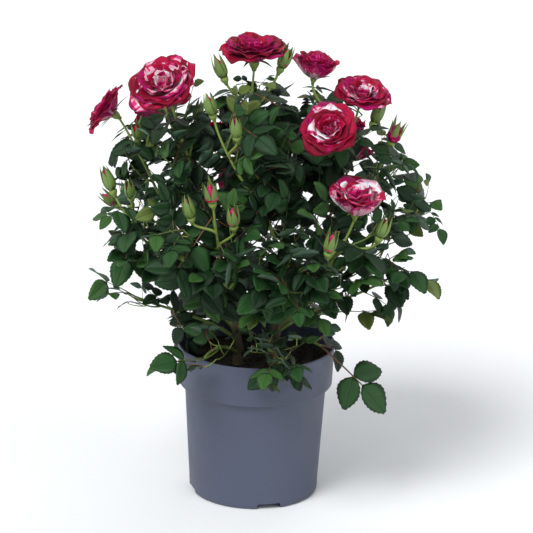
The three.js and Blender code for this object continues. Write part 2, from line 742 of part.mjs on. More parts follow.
// A mass: its twig and flower, then each side bud and leaf that fits. A piece fits where it keeps to
// the mass's own space and touches nothing that grew before it.
function growMass(shoot) {
  const twigs = shoots.filter((other) => other !== shoot).map((other) => twigSolid(other, LIMB_MARGIN));
  const flowers = shoots.flatMap((other) => flowerSolids(other, LIMB_MARGIN));
  const obstacles = wasm.Manifold.union([...fixed, ...twigs, ...flowers]);
  let leaves = wasm.Manifold.union([]);
  const isClear = (solid) =>
    [obstacles, leaves].every((other) => other.intersect(solid).isEmpty()) &&
    [...masses.values()].every((other) => other.minGap(solid, LIMB_MARGIN) >= LIMB_MARGIN);
  let mass = wasm.Manifold.union([twigSolid(shoot), ...flowerSolids(shoot)]);
  const add = (piece) => {
    const joined = mass.add(piece).simplify(SLIVER);
    const sound = joined.decompose().length === 1 && GRIDS.every((grid) => isSound(joined, grid));
    if (!sound) return; // it would join with a hairline gap
    mass = joined;
    leaves = leaves.add(piece);
  };
  sideBuds(shoot, (solid) => keepsToSpace(solid, shoot) && isClear(solid)).forEach(add);
  for (const node of nodesOf(shoot)) {
    const leaf = bestLeaf(shoot, node, isClear);
    if (leaf.kept.length >= LEAF.fewest) add(leafSolid(leaf, leaf.kept));
  }
  masses.set(shoot.name, mass);
}

shoots.forEach(growMass);

const bush = new THREE.Group();
bush.name = "rose_bush";

function addNode(name, solid, material) {
  const mesh = new THREE.Mesh(geometryOf(solid.simplify(SLIVER)), material);
  mesh.name = name;
  bush.add(mesh);
}

addNode("pot", potSolid(), MATERIALS.pot);
addNode("soil", soilSolid(), MATERIALS.soil);
for (const name of Object.keys(STEM_AZIMUTHS)) {
  addNode(`stem_${name}`, stemSolid(name), MATERIALS.bark);
}
for (const shoot of shoots) {
  const bough = boughSolid(shoot).subtract(stemSolid(shoot.stem, CLEARANCE));
  addNode(`bough_${shoot.name}`, largestBody(bough), MATERIALS.bark);
  addNode(`foliage_${shoot.name}`, masses.get(shoot.name), MATERIALS.foliage);
}

export default bush;
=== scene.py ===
"""A miniature rose bush in its nursery pot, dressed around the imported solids.

The limbs and the masses of foliage follow the rule of the solids: four woody stems, a bough for each
shoot, and at its end a mass of twigs, compound leaves, blooms and buds that keeps to its own space.
Here the rule is carried on to side twigs, toothed leaflets, single petals and sepals.

Sizes are in millimetres and become metres where a mesh is made. +Z is up, +X is to the right and -Y is
the front. Angles are in degrees, and azimuths go from +X.
"""
import json
import math
from types import SimpleNamespace as Values

import bpy
import numpy as np
from mathutils import Matrix, Vector

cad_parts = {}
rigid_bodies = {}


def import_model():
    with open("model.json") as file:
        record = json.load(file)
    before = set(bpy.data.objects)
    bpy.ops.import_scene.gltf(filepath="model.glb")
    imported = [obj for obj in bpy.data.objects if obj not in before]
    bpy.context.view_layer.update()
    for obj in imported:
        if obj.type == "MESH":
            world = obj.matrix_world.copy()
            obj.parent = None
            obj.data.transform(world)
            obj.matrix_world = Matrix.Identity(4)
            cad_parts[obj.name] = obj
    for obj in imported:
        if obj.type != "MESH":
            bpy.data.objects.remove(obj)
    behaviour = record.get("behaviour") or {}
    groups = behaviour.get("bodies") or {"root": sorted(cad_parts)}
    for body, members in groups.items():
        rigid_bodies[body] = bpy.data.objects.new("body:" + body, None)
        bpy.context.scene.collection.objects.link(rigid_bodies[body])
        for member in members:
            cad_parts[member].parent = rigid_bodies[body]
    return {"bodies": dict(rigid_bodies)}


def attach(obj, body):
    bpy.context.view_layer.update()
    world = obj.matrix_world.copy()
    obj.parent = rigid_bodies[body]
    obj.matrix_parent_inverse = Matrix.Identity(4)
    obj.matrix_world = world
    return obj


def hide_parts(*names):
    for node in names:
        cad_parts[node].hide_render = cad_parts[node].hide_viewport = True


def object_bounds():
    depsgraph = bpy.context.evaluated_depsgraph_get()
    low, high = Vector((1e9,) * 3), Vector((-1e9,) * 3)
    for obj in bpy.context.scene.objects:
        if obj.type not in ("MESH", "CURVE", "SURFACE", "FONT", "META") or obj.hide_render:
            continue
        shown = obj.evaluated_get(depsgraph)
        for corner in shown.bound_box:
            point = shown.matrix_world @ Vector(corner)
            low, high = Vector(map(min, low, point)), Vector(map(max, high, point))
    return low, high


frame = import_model()
cad_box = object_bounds()

MM = 0.001
SEED = 2603
(BODY,) = frame["bodies"]
UP = np.array([0.0, 0.0, 1.0])
BOX_LOW, BOX_HIGH = (np.array(corner) / MM for corner in cad_box)
BOX_MARGIN = 0.4

# The camera stands as in the photograph. view is the height that it sees at the plant.
CAMERA = Values(rise=19, distance=2550, lean=1.3, view=400, sensor=36)

# The pot and the peat
POT = Values(height=118, rim=60, collar_foot=58.4, collar_at=87, step=4.5, shoulder=53.6, base=48.8,
             base_rounding=2.5, wall=1.6, floor=6.2, sides=160)
DRAIN = Values(count=4, width=19, height=4.4, inner=21, azimuth=-75.4, chamfer=1.5)
SOIL_TOP = 104
SOIL = Values(play=0.6, sunk=1.2, crumbs=900)
# The (radius, height) profile of a crumb of size 1
CRUMB = ((0, -0.8), (0.8, -0.5), (1, 0.1), (0.6, 0.7), (0, 0.85))

# The limbs. Pairs of radii are those of the start and the end.
STEM = Values(ring=19, height=56, lean=9, bow=0.2, foot=4.6, radii=(3.1, 2.2), flare=0.25)
BOUGH = Values(radii=(1.7, 1.25), first=0.15, rise=42, least=0.24, most=0.46, step=0.02, spread=10)
SHOOT = Values(pull=0.33, lift=0.55, nod=0.35, points=9)
TWIG = Values(radii=(1.35, 0.85), sides=7, rings=26, spacing=16, prickle=2)
# The skins of stems and boughs. prickly is the part of them that has prickles.
STEM_SKIN = Values(sides=22, rings=46, relief=0.1, prickly=(0.2, 0.95), spacing=9, prickle=3.2)
BOUGH_SKIN = Values(sides=12, rings=22, relief=0.06, prickly=(0.3, 1), spacing=12, prickle=2.6)
# Side twigs of the first and the second order, and the share of them that may end in the open
SIDE_TWIGS = (
    Values(every=14, lengths=(24, 44), lean=(38, 66), radii=(0.85, 0.42), tint="twig_green", stray=0.3),
    Values(every=14, lengths=(13, 24), lean=(35, 60), radii=(0.5, 0.32), tint="twig_young", stray=0),
)
SIDE_TWIG = Values(start=0.3, end=0.92, lift=0.35, bend=0.45, turn=75, stray=40, tries=8, shorter=0.07)
GOLDEN_ANGLE = 137.5
CROWN_CENTRE = np.array([10, 0, 192])
CROWN_RADII = np.array([142, 138, 166])

# The leaves. turns, lifts and shares of its size are what a leaf tries at its node.
LEAF = Values(internode=8.5, rachis=36, stalk=0.62, lean=(55, 95), last_lean=15, droop=(0, 1), outward=0.45,
              faced=2.2, aside=0.2, roll=0.8, flat_roll=0.3, flat_side=20, sizes=(0.66, 1.1), shrink=0.3,
              stray=30, turns=(0, 50, -50, 100, -100, 150, -150), lifts=(0, 0.5), shares=(1, 0.8, 0.62),
              fewest=0.5, bare_top=20, splay=66, arch=0.16, sag=0.12)
# The girth of a rachis from its foot to its last leaflet
RACHIS_GIRTHS = (1.5, 1, 0.95, 0.85, 0.75, 0.65)
# Pairs of side leaflets as (share of the rachis, length), and the length of the end one
LEAFLET_PAIRS = ((0.1, 15), (0.42, 20), (0.79, 23.5))
END_LEAFLET = 26.5
LEAFLET = Values(width=0.7, base=0.66, tip=0.98, teeth=8, tooth=0.028, thickness=0.011, variants=14)
# Where a leaf's tint changes, from deep painted shade to young, and the height under which painted shade
# darkens leaves
TINT_STEPS = (0.55, 1.05, 1.55, 2.05)
SHADED_LEAVES_BELOW = 150

# The crown is dense up to these radii at their heights. Outside them it is open but for patches and the
# room around the tip of each leafy shoot.
DENSE_HEIGHTS = (80, 105, 130, 160, 180, 200, 220, 250)
DENSE_RADII = (64, 69, 70, 71, 86, 116, 132, 126)
PATCHES = Values(size=17, open_below=-0.33, room=18, depth=0.75, low=158, fewer=0.3)
# Leaves stay under this dome, and the flowers and their stalks stand out of it
DOME = Values(top=335, middle=15, left=420, right=165, depth=380, slope=0.34, ripple=11, ripple_size=20)
# The room that leaves keep to the wall of the pot
POT_ROOM = Values(inside=2, outside=2.5, above=1.5)
# No leaf is lower than height, and in front than front plus the slope at which the camera looks down, but
# for some that hang beside the pot on the right
LOWEST_LEAF = Values(height=102, front=80, slope=0.344)
HANGING = Values(radius=72, azimuth=-20, spread=25)
# Gaps at the front, through which the peat shows behind the rim: x, half width and height as seen
PEAT_GAPS = ((-6, 11, 103), (43, 9, 112))
PEAT_GAP_HALF = 6
# A flower is free of leaves this far outwards and around it, and its stalk from this share of it on
FLOWER_ROOM = Values(outwards=24, stalk=0.86, around=2)
BUD_ROOM = Values(outwards=42, stalk=0.66, around=4.5)
ROOM_STEP = 6
STALK_ROOM = 4

# The flowers. rise and tip are the angles of a petal's foot and end, and shares is its length in radii of
# the flower, each for the first petal and the last. sepals is how far the sepals open.
FLOWERS = {
    "bloom": Values(depth=0.5, petals=36, rise=(8, 42), tip=(-18, 108), shares=(0.5, 1.0), sepals=98),
    "cup": Values(depth=0.72, petals=24, rise=(2, 26), tip=(-2, 40), shares=(1.05, 1.3), sepals=62),
}
PETAL = Values(width=0.56, widest=0.68, claw=0.2, crown=0.28, columns=16, rows=10, thickness=0.25)
# How a petal's pale streaks end. Widths are in columns, dark is how seldom it is crimson, and reds are the
# shares of red and magenta petals. front is where the tints change below a streak's end, and behind is the
# share of the back that is streaked further up.
STREAK = Values(reach=0.34, width=1.8, ragged=0.07, dark_width=2.5, dark=(0.5, -0.2), reds=(0.65, 0.35),
                front=(-0.24, -0.09, 0), behind=0.3)
SEPAL = Values(count=5, columns=4, rows=7, thickness=0.3)
HIP_SIDES = 12
# How much shorter a petal or sepal is at its sides than in the middle
ROUND_END = 0.24
# A prickle's hook as (outwards, downwards), and its radii, in its own length
PRICKLE_HOOK = ((0.4, -0.1), (0.8, 0.2), (1, 0.5))
PRICKLE_RADII = np.array([0.32, 0.2, 0.1, 0.02])
BUD = Values(width=9.5, length=21, rise=68, sides=18, folds=3, twist=2.6)
# The girth of a bud at shares of its length
BUD_GIRTHS = ((0.02, 0.4), (0.12, 0.7), (0.28, 1), (0.48, 0.95), (0.66, 0.72), (0.82, 0.42), (0.94, 0.2))
# The angles of a bud's sepals at shares of their length, and how far each follows when they open
SEPAL_PLACES = (0, 0.12, 0.3, 0.5, 0.75, 1)
SEPAL_ANGLES = np.array([46, 20, 3, -11, -16, -11])
SEPAL_OPENING = np.array([0, 0.1, 0.2, 0.5, 0.9, 1.5])
STALK = Values(radius=0.95, first=0.66, stagger=0.12, share=0.35, leaves=0.9)
SIDE_BUD = Values(stalks=(25.5, 39.1), below=0.14, step=0.03, spreads=(26, 42), turn=137, stray=50, tries=8,
                  red=0.6, scale=0.85)


# Small helpers

def unit(vectors):
    return vectors / np.linalg.norm(vectors, axis=-1, keepdims=True)


def heading(azimuth):
    angle = math.radians(azimuth)
    return np.array([math.cos(angle), math.sin(angle), 0.0])


def polar(azimuth, radius, z):
    return heading(azimuth) * radius + UP * z


def turned(points, azimuth):
    """Points turned about +Z."""
    ahead = heading(azimuth)
    return points @ np.array([ahead, np.cross(UP, ahead), UP])


def leaning(way, away, angle):
    """A direction that leans from a way by an angle towards another, which is square to it."""
    angle = math.radians(angle)
    return way * math.cos(angle) + away * math.sin(angle)


def mix(pair, share):
    return pair[0] + (pair[1] - pair[0]) * share


def circle(sides):
    return np.linspace(0, 2 * math.pi, sides, endpoint=False)


def length_of(line):
    return np.linalg.norm(np.diff(line, axis=0), axis=1).sum()


def bezier(controls, t):
    """The points of a Bezier curve at shares t of it."""
    t = np.asarray(t, float)[..., None]
    while len(controls) > 1:
        controls = [a + (b - a) * t for a, b in zip(controls, controls[1:])]
    return controls[0]


def tangent(controls, t):
    step = 1e-3
    return unit(bezier(controls, np.asarray(t) + step) - bezier(controls, np.asarray(t) - step))


def sides_of(way, reference):
    """Two directions square to a way and to each other. The first is square to the reference too."""
    side = unit(np.cross(reference, way))
    return side, np.cross(way, side)


def basis_along(direction):
    """Rows x, y, z of a frame whose z points along a direction."""
    direction = unit(direction)
    reference = np.array([1.0, 0.0, 0.0]) if abs(direction[2]) > 0.98 else UP
    return np.array([*sides_of(direction, reference), direction])


def ripple(seed, scale, *coordinates):
    """A smooth field from -1 to 1, made of a few sine waves."""
    rng = np.random.default_rng(seed)
    total = 0
    for _ in range(4):
        ways = rng.normal(size=len(coordinates)) / scale
        total = total + np.sin(sum(w * c for w, c in zip(ways, coordinates)) + rng.uniform(0, 6.28))
    return total / 4


def crown_share(points):
    """How far out points are in the crown, from 0 at its centre to 1 at its skin."""
    return np.sqrt((((points - CROWN_CENTRE) / CROWN_RADII) ** 2).sum(-1))


def show(name, data):
    """Puts an object with these data into the scene."""
    obj = bpy.data.objects.new(name, data)
    bpy.context.scene.collection.objects.link(obj)
    return obj


# The shoots

def tip_at(kind, azimuth, reach, height, face, rise, depth, **values):
    """The end of a shoot or a stalk. foot is the foot of its flower, and facing is where that opens to."""
    facing = leaning(heading(face), UP, rise)
    foot = polar(azimuth, reach, height) - facing * depth / 2
    usual = {"width": BUD.width, "lift": SHOOT.lift, "end": None, "thick": 1, "big": 1, "leaf_face": None}
    return Values(kind=kind, azimuth=azimuth, facing=facing, foot=foot, depth=depth, **usual | values)


def bloom(width, azimuth, reach, height, face, rise, pale=0.0, kind="bloom"):
    depth = width * FLOWERS[kind].depth
    return tip_at(kind, azimuth, reach, height, face, rise, depth, width=width, pale=pale)


def cup(*values):
    return bloom(*values, kind="cup")


def bud(azimuth, reach, height, red=0.0):
    return tip_at("bud", azimuth, reach, height, azimuth, BUD.rise, BUD.length, red=red, scale=1)


def leafy(azimuth, reach, height, lift, end=0.9, thick=1.0, big=1.0, face=None):
    """The tip of a leafy shoot, with the size of its last leaf and of the others.

    thick says how closely its twigs stand, and face is where its last leaf turns its upper side.
    """
    return tip_at("leaf", azimuth, reach, height, azimuth, 0, 0, lift=lift, end=end, thick=thick, big=big,
                  leaf_face=face)


STEM_AZIMUTHS = {"front_left": -135, "front_right": -45, "back_right": 45, "back_left": 135}
# Each stem's shoots from its lowest to its leader, as (name, tips, number of side buds)
SHOOTS = {
    "front_left": [
        ("rim_front_left", [leafy(-122, 72, 126, -0.6, 1.05, 3, 1.4, -100)], 0),
        ("left_low", [leafy(-165, 94, 160, 0, 0.9, 1.2)], 0),
        ("left_bud", [bud(-166, 114, 250)], 1),
        ("front_buds", [bud(-112, 92, 260, 0.7), bud(-122, 95, 247), bud(-102, 88, 243, 0.3)], 0),
        ("top_left", [bloom(53, -160, 76, 325, -118, 52, 0.15)], 1),
    ],
    "front_right": [
        ("rim_front", [leafy(-78, 69, 129, -0.4, 0.66, 2)], 0),
        ("rim_right", [leafy(-36, 60, 128, -0.5, 1.15, face=-80)], 0),
        ("right_low", [leafy(-14, 102, 180, 0.15)], 0),
        ("front_low", [leafy(-75, 76, 196, 0.2, 0.9, 2)], 0),
        ("front_right_low", [cup(40, -38, 90, 249, -70, 80, 0.45), bud(-60, 104, 226, 0.4),
                             bud(-33, 108, 228)], 0),
        ("front_high", [bud(-126, 62, 316), bud(-106, 64, 303)], 0),
    ],
    "back_right": [
        ("rim_back_right", [leafy(62, 80, 142, -0.2, 0.9, 2)], 0),
        ("right_out", [leafy(3, 114, 224, 0.2, 0.9, 1.8)], 0),
        ("back_right_low", [cup(26, 46, 104, 247, 45, 60)], 1),
        ("right_bud", [bud(6, 100, 280, 1.0)], 1),
        ("back_right", [bloom(44, 75, 88, 254, 70, 42), cup(30, 38, 80, 274, 30, 70)], 1),
        ("top_right", [bloom(42, 2, 74, 313, -70, 68, 0.1), cup(32, 14, 41, 331, 0, 80, 0.05),
                       bloom(42, -43, 68, 300, -95, 42, 0.05), bud(3, 86, 297)], 0),
    ],
    "back_left": [
        ("rim_back_left", [leafy(122, 82, 144, -0.2, 0.9, 2)], 0),
        ("back_left_low", [bud(158, 108, 218)], 1),
        ("back_low", [bloom(42, 97, 108, 212, 92, 35)], 1),
        ("left", [bloom(42, 180, 114, 298, 178, 35)], 1),
        ("back_left", [bloom(46, 142, 94, 284, 130, 45), bud(158, 84, 308)], 0),
        ("back", [cup(36, 100, 66, 268, 90, 68), bloom(38, 112, 92, 252, 105, 38)], 1),
        ("top", [bloom(53, 180, 6, 345, -90, 86, -0.15), bud(-161, 32, 333, 0.2),
                 bud(-20, 17, 340, 0.3)], 0),
    ],
}


class Bunch:
    """Triangles of one kind, gathered from many places to be joined into one mesh."""

    def __init__(self):
        self.parts = []
        self.count = 0

    def add(self, points, faces, tint=0, coords=None):
        """tint is the number of a material, or one for each face. coords are surface coordinates."""
        coords = np.zeros((len(points), 2)) if coords is None else coords
        tints = np.broadcast_to(tint, len(faces))
        self.parts.append((points, np.asarray(faces) + self.count, tints, coords))
        self.count += len(points)

    def piece(self, name, materials, slot, replaced=()):
        """Makes the object, which rides on the body and stands for the replaced nodes."""
        points, faces, tints, coords = (np.concatenate(column) for column in zip(*self.parts))
        mesh = bpy.data.meshes.new(name)
        mesh.vertices.add(len(points))
        mesh.loops.add(faces.size)
        mesh.polygons.add(len(faces))
        for made in materials:
            mesh.materials.append(made)
        mesh.vertices.foreach_set("co", (points * MM).astype(np.float32).ravel())
        mesh.loops.foreach_set("vertex_index", faces.astype(np.int32).ravel())
        mesh.polygons.foreach_set("loop_start", np.arange(0, faces.size, 3, dtype=np.int32))
        mesh.polygons.foreach_set("material_index", tints.astype(np.int32))
        layer = mesh.uv_layers.new(name="surface")
        layer.data.foreach_set("uv", coords[faces.ravel()].astype(np.float32).ravel())
        mesh.update(calc_edges=True)
        mesh.shade_smooth()
        obj = show(name, mesh)
        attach(obj, BODY)
        if replaced:
            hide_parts(*replaced)
        return obj


# Materials

class Skin:
    """A Principled material with a plain base colour, and the nodes that give it relief and gloss."""

    def __init__(self, name, colour, roughness, **sockets):
        self.made = bpy.data.materials.new(name)
        self.made.use_nodes = True
        self.made.diffuse_color = (*colour, 1)
        self.tree = self.made.node_tree
        self.shader = self.tree.nodes["Principled BSDF"]
        self.feed(self.shader, Base_Color=(*colour, 1), Roughness=roughness, **sockets)

    def feed(self, node, **inputs):
        """Gives a node's inputs their values, or links them to other nodes' outputs."""
        for name, value in inputs.items():
            self.feed_socket(node.inputs[name.replace("_", " ")], value)

    def feed_socket(self, socket, value):
        if isinstance(value, bpy.types.NodeSocket):
            self.tree.links.new(value, socket)
        else:
            socket.default_value = value

    def node(self, kind, **inputs):
        node = self.tree.nodes.new(f"ShaderNode{kind}")
        self.feed(node, **inputs)
        return node

    def maths(self, operation, *values):
        node = self.node("Math")
        node.operation = operation
        for socket, value in zip(node.inputs, values):
            self.feed_socket(socket, value)
        return node.outputs["Value"]

    def noise(self, scale, detail=3, stretch=(1, 1, 1)):
        """The factor of a noise in the object's own coordinates, stretched along X, Y and Z."""
        where = self.node("TexCoord").outputs["Object"]
        mapped = self.node("Mapping", Vector=where, Scale=stretch).outputs["Vector"]
        return self.node("TexNoise", Vector=mapped, Scale=scale, Detail=detail).outputs["Fac"]

    def gloss(self, factor, low, high):
        """Spreads the middle of a noise over a range of roughness."""
        ramp = self.node("MapRange", Value=factor, From_Min=0.3, From_Max=0.7, To_Min=low, To_Max=high)
        self.feed(self.shader, Roughness=ramp.outputs["Result"])

    def bump(self, height, depth, strength=1.0):
        node = self.node("Bump", Height=height, Distance=depth * MM, Strength=strength)
        self.feed(self.shader, Normal=node.outputs["Normal"])

    def blotches(self, factor, colours):
        """Colours the surface from pairs of (place from 0 to 1, colour) by a factor."""
        ramp = self.node("ValToRGB", Fac=factor)
        elements = ramp.color_ramp.elements
        while len(elements) < len(colours):
            elements.new(0.5)
        for element, (place, colour) in zip(elements, colours):
            element.position = place
            element.color = (*colour, 1)
        self.feed(self.shader, Base_Color=ramp.outputs["Color"])

    def surface(self):
        """The surface coordinates along and across a leaflet or petal."""
        where = self.node("UVMap")
        where.uv_map = "surface"
        split = self.node("SeparateXYZ", Vector=where.outputs["UV"])
        return split.outputs["X"], split.outputs["Y"]


def leaf_material(name, colour, roughness):
    """A leaflet with a sunk midrib and side veins that run forward to its edge."""
    skin = Skin(name, colour, roughness, Specular_IOR_Level=0.35)
    along, across = skin.surface()
    aside = skin.maths("ABSOLUTE", across)
    forward = skin.maths("SUBTRACT", along, skin.maths("MULTIPLY", aside, 0.45))
    lines = skin.maths("SINE", skin.maths("MULTIPLY", forward, 50))
    veins = skin.maths("POWER", skin.maths("ABSOLUTE", lines), 0.6)
    midrib = skin.maths("MINIMUM", skin.maths("MULTIPLY", aside, 12), 1.0)
    skin.bump(skin.maths("ADD", skin.maths("MULTIPLY", veins, 0.7), midrib), 0.55, 0.8)
    skin.gloss(skin.noise(90), roughness - 0.08, roughness + 0.12)
    return skin.made


def petal_material(name, colour):
    """A petal with fine ribs that run from its base to its edge, and a velvet sheen."""
    skin = Skin(name, colour, 0.55, Specular_IOR_Level=0.15, Sheen_Weight=0.06, Sheen_Roughness=0.4,
                Subsurface_Weight=0.3, Subsurface_Scale=1.5 * MM)
    _, across = skin.surface()
    wander = skin.maths("MULTIPLY", skin.noise(250), 4)
    skin.bump(skin.maths("SINE", skin.maths("ADD", skin.maths("MULTIPLY", across, 60), wander)), 0.1, 0.5)
    skin.gloss(skin.noise(160), 0.45, 0.65)
    return skin.made


def grained_material(name, colour, roughness, relief, gloss=None, blotches=None):
    """A skin whose relief is a noise, and so are its gloss and its blotches where it has them.

    relief is (noise, depth, strength), gloss is (noise, lowest, highest roughness) and blotches is
    (noise, colours). A noise is (scale, detail, stretch), or the first of these.
    """
    skin = Skin(name, colour, roughness)
    skin.bump(skin.noise(*relief[0]), *relief[1:])
    if gloss:
        skin.gloss(skin.noise(*gloss[0]), *gloss[1:])
    if blotches:
        skin.blotches(skin.noise(*blotches[0]), blotches[1])
    return skin.made


def green_material(name, colour):
    """Young skin of a twig, stalk, sepal or hip, with fine lines along it."""
    return grained_material(name, colour, 0.5, ((500, 4, (1, 1, 0.3)), 0.25, 0.6), ((120,), 0.4, 0.62))


def bark_material(name, depth, colours):
    """Skin of a limb, mottled along its length, with fine fissures."""
    return grained_material(name, colours[0][1], 0.7, ((420, 6, (1, 1, 0.22)), depth, 0.9),
                            ((200,), 0.55, 0.85), ((110, 5, (1, 1, 0.35)), colours))


# From deep to young: deep and dark are painted shade for older leaves inside the crown and low down, bright
# is painted light for leaves near a twig's tip on the crown's outside
LEAF_TINTS = {
    "leaf_deep": (0.006, 0.028, 0.007),
    "leaf_dark": (0.010, 0.044, 0.011),
    "leaf_green": (0.018, 0.074, 0.015),
    "leaf_bright": (0.040, 0.120, 0.022),
    "leaf_young": (0.12, 0.175, 0.033),
}
UNDER_TINTS = {"underside": (0.06, 0.12, 0.07), "underside_pale": (0.11, 0.18, 0.12)}
PETAL_TINTS = {
    "petal_crimson": (0.19, 0.0, 0.018),
    "petal_red": (0.37, 0.0, 0.038),
    "petal_magenta": (0.32, 0.0, 0.085),
    "petal_rose": (0.62, 0.035, 0.17),
    "petal_blush": (0.86, 0.4, 0.52),
    "petal_white": (0.92, 0.8, 0.84),
}
GREEN_TINTS = {
    "twig_green": (0.13, 0.2, 0.04),
    "twig_young": (0.24, 0.34, 0.07),
    "leafstalk": (0.1, 0.13, 0.035),
    "leafstalk_red": (0.15, 0.065, 0.03),
    "prickle": (0.2, 0.1, 0.05),
    "sepal": (0.15, 0.24, 0.055),
    "hip": (0.22, 0.32, 0.07),
}
# Blotches as (place from 0 to 1, colour)
POT_BLOTCHES = ((0.3, (0.057, 0.068, 0.109)), (0.7, (0.068, 0.081, 0.128)))
PEAT_BLOTCHES = ((0.3, (0.006, 0.004, 0.003)), (0.55, (0.022, 0.014, 0.009)), (0.75, (0.06, 0.038, 0.024)))
WOODY_BARK = ((0.3, (0.035, 0.027, 0.015)), (0.5, (0.075, 0.065, 0.03)), (0.72, (0.13, 0.12, 0.06)))
GREEN_BARK = ((0.3, (0.09, 0.1, 0.03)), (0.52, (0.14, 0.2, 0.045)), (0.75, (0.21, 0.27, 0.075)))
leaf_materials = [leaf_material(name, colour, 0.42) for name, colour in LEAF_TINTS.items()]
leaf_materials += [leaf_material(name, colour, 0.62) for name, colour in UNDER_TINTS.items()]
petal_materials = [petal_material(name, colour) for name, colour in PETAL_TINTS.items()]
green_materials = [green_material(name, colour) for name, colour in GREEN_TINTS.items()]
GREEN = {name: number for number, name in enumerate(GREEN_TINTS)}
PETALS = Values(**{name.removeprefix("petal_"): number for number, name in enumerate(PETAL_TINTS)})


# Basic shapes

def tube(line, radii, sides, reference):
    """A closed tube along a line of points. reference is a direction that the line never runs in."""
    side, other = sides_of(unit(np.gradient(line, axis=0)), reference)
    angles = circle(sides)[:, None, None]
    ring = np.cos(angles) * side + np.sin(angles) * other
    radii = np.broadcast_to(radii, (sides, len(line)))
    points = (line + ring * radii[..., None]).transpose(1, 0, 2).reshape(-1, 3)
    return np.concatenate([points, line[:1], line[-1:]]), tube_faces(len(line), sides)


def tube_faces(rings, sides):
    """The faces of rings of points, closed at both ends by one more point each."""
    k = np.arange(sides)
    after = (k + 1) % sides
    start = np.arange(rings - 1)[:, None] * sides
    a, b = (start + k).ravel(), (start + after).ravel()
    end, top = rings * sides, (rings - 1) * sides
    triangles = ((a, b, b + sides), (a, b + sides, a + sides), (after, k, 0 * k + end),
                 (top + k, top + after, 0 * k + end + 1))
    return np.concatenate([np.stack(corners, 1) for corners in triangles])


def lathe(profile, sides):
    """A closed surface turned around +Z from a profile of (radius, height) that ends on the axis."""
    angles = circle(sides)
    ring = np.stack([np.cos(angles), np.sin(angles), 0 * angles], 1)
    points = [ring * radius + UP * height for radius, height in profile[1:-1]]
    ends = [UP * profile[0][1], UP * profile[-1][1]]
    return np.concatenate([*points, ends]), tube_faces(len(points), sides)


def sheet_faces(sheet):
    """The faces of a lens-shaped sheet whose two skins share their edge, with each face's cell.

    The front skin is a grid of rows + 1 by columns + 1 points. The back skin has only the inner ones.
    """
    rows, columns = sheet.rows, sheet.columns
    front = np.arange((rows + 1) * (columns + 1)).reshape(rows + 1, columns + 1)
    back = front.copy()
    back[1:-1, 1:-1] = front.size + np.arange((rows - 1) * (columns - 1)).reshape(rows - 1, columns - 1)
    row, column = np.indices((rows, columns))
    faces, cells = [], []
    for skin, grid in enumerate((front, back)):
        a, b, c, d = grid[:-1, :-1], grid[:-1, 1:], grid[1:, 1:], grid[1:, :-1]
        for corners in ((a, b, c), (a, c, d)):
            faces.append(np.stack(corners[::1 - 2 * skin], -1).reshape(-1, 3))
            cells.append(np.stack([0 * row + skin, row, column], -1).reshape(-1, 3))
    return np.concatenate(faces), np.concatenate(cells)


def blade(angles, length, half_widths, curl, sheet, start=(0, 0), ruffle=0, point=1.6):
    """A petal or sepal that stands on the +X side of the +Z axis, and its surface coordinates.

    angles are its angles from the axis and half_widths its half widths at even steps of its length.
    curl is the radius that it is cupped to, ruffle is a grid of offsets of its skin, and its end is the
    rounder the larger point is.
    """
    v = np.linspace(0, 1, sheet.rows + 1)
    u = np.linspace(-1, 1, sheet.columns + 1)
    angles = np.radians(angles)
    middle = (angles[1:] + angles[:-1]) / 2
    out, high = (foot + np.concatenate([[0], np.cumsum(steps)]) * (length / sheet.rows)
                 for foot, steps in zip(start, (np.sin(middle), np.cos(middle))))
    spot = v[:, None] * (1 - ROUND_END * np.abs(u) ** point)
    lean = np.interp(spot, v, angles)
    bend_angle = u * half_widths[:, None] / curl
    depth = curl * (1 - np.cos(bend_angle)) + ruffle
    normal = np.stack([-np.cos(lean), 0 * lean, np.sin(lean)], -1)
    across = curl * np.sin(bend_angle)
    grid = np.stack([np.interp(spot, v, out), across, np.interp(spot, v, high)], -1)
    grid += normal * depth[..., None]
    coords = np.stack(np.broadcast_arrays(v[:, None], u), -1)
    return both_skins(grid, grid - normal * sheet.thickness), both_skins(coords, coords)


def both_skins(front, back):
    """The points of a sheet's front skin and the inner ones of its back skin."""
    return np.concatenate([part.reshape(-1, part.shape[-1]) for part in (front, back[1:-1, 1:-1])])


# The rule of the solids: stems, shoots and the spaces of the masses

def stem_controls(name):
    return [polar(STEM_AZIMUTHS[name], STEM.ring + STEM.lean * lean, SOIL_TOP + STEM.height * share)
            for lean, share in ((0, 0), (STEM.bow, 0.5), (1, 1))]


def bend(start, start_way, end, end_way):
    pull = np.linalg.norm(end - start) * SHOOT.pull
    return [start, start + start_way * pull, end - end_way * pull, end]


class Shoot:
    """The curve of a shoot from the axis of its woody stem to its first tip, and what it carries."""

    def __init__(self, index, name, stem, place, tips, side_buds):
        self.index, self.name, self.stem, self.tips, self.side_buds = index, name, stem, tips, side_buds
        self.azimuth = tips[0].azimuth
        self.reference = heading(self.azimuth + 90)
        self.leafy = tips[0].kind == "leaf"
        self.controls = self.curve(place, tips[0])
        self.stalks = [self.controls] + [self.stalk(k, tip) for k, tip in enumerate(tips[1:], 1)]
        self.length = length_of(self.at(np.linspace(0, 1, 200)))
        self.enter = BOUGH.most

    def curve(self, place, tip):
        stem = stem_controls(self.stem)
        start = bezier(stem, BOUGH.first + (1 - BOUGH.first) * place)
        straight = unit(tip.foot - start)
        start_way = tangent(stem, 1) if place == 1 else leaning(unit(straight * (1, 1, 0)), UP, BOUGH.rise)
        end_way = unit(straight + UP * tip.lift)
        if not self.leafy:
            end_way = unit(end_way + (tip.facing - end_way) * SHOOT.nod)
        return bend(start, start_way, tip.foot, end_way)

    def stalk(self, number, tip):
        start = STALK.first + STALK.stagger * (number % 2)
        return bend(self.at(start), tangent(self.controls, start), tip.foot, tip.facing)

    def at(self, t):
        return bezier(self.controls, t)

    def line(self, start):
        return self.at(np.linspace(start, 1, SHOOT.points))


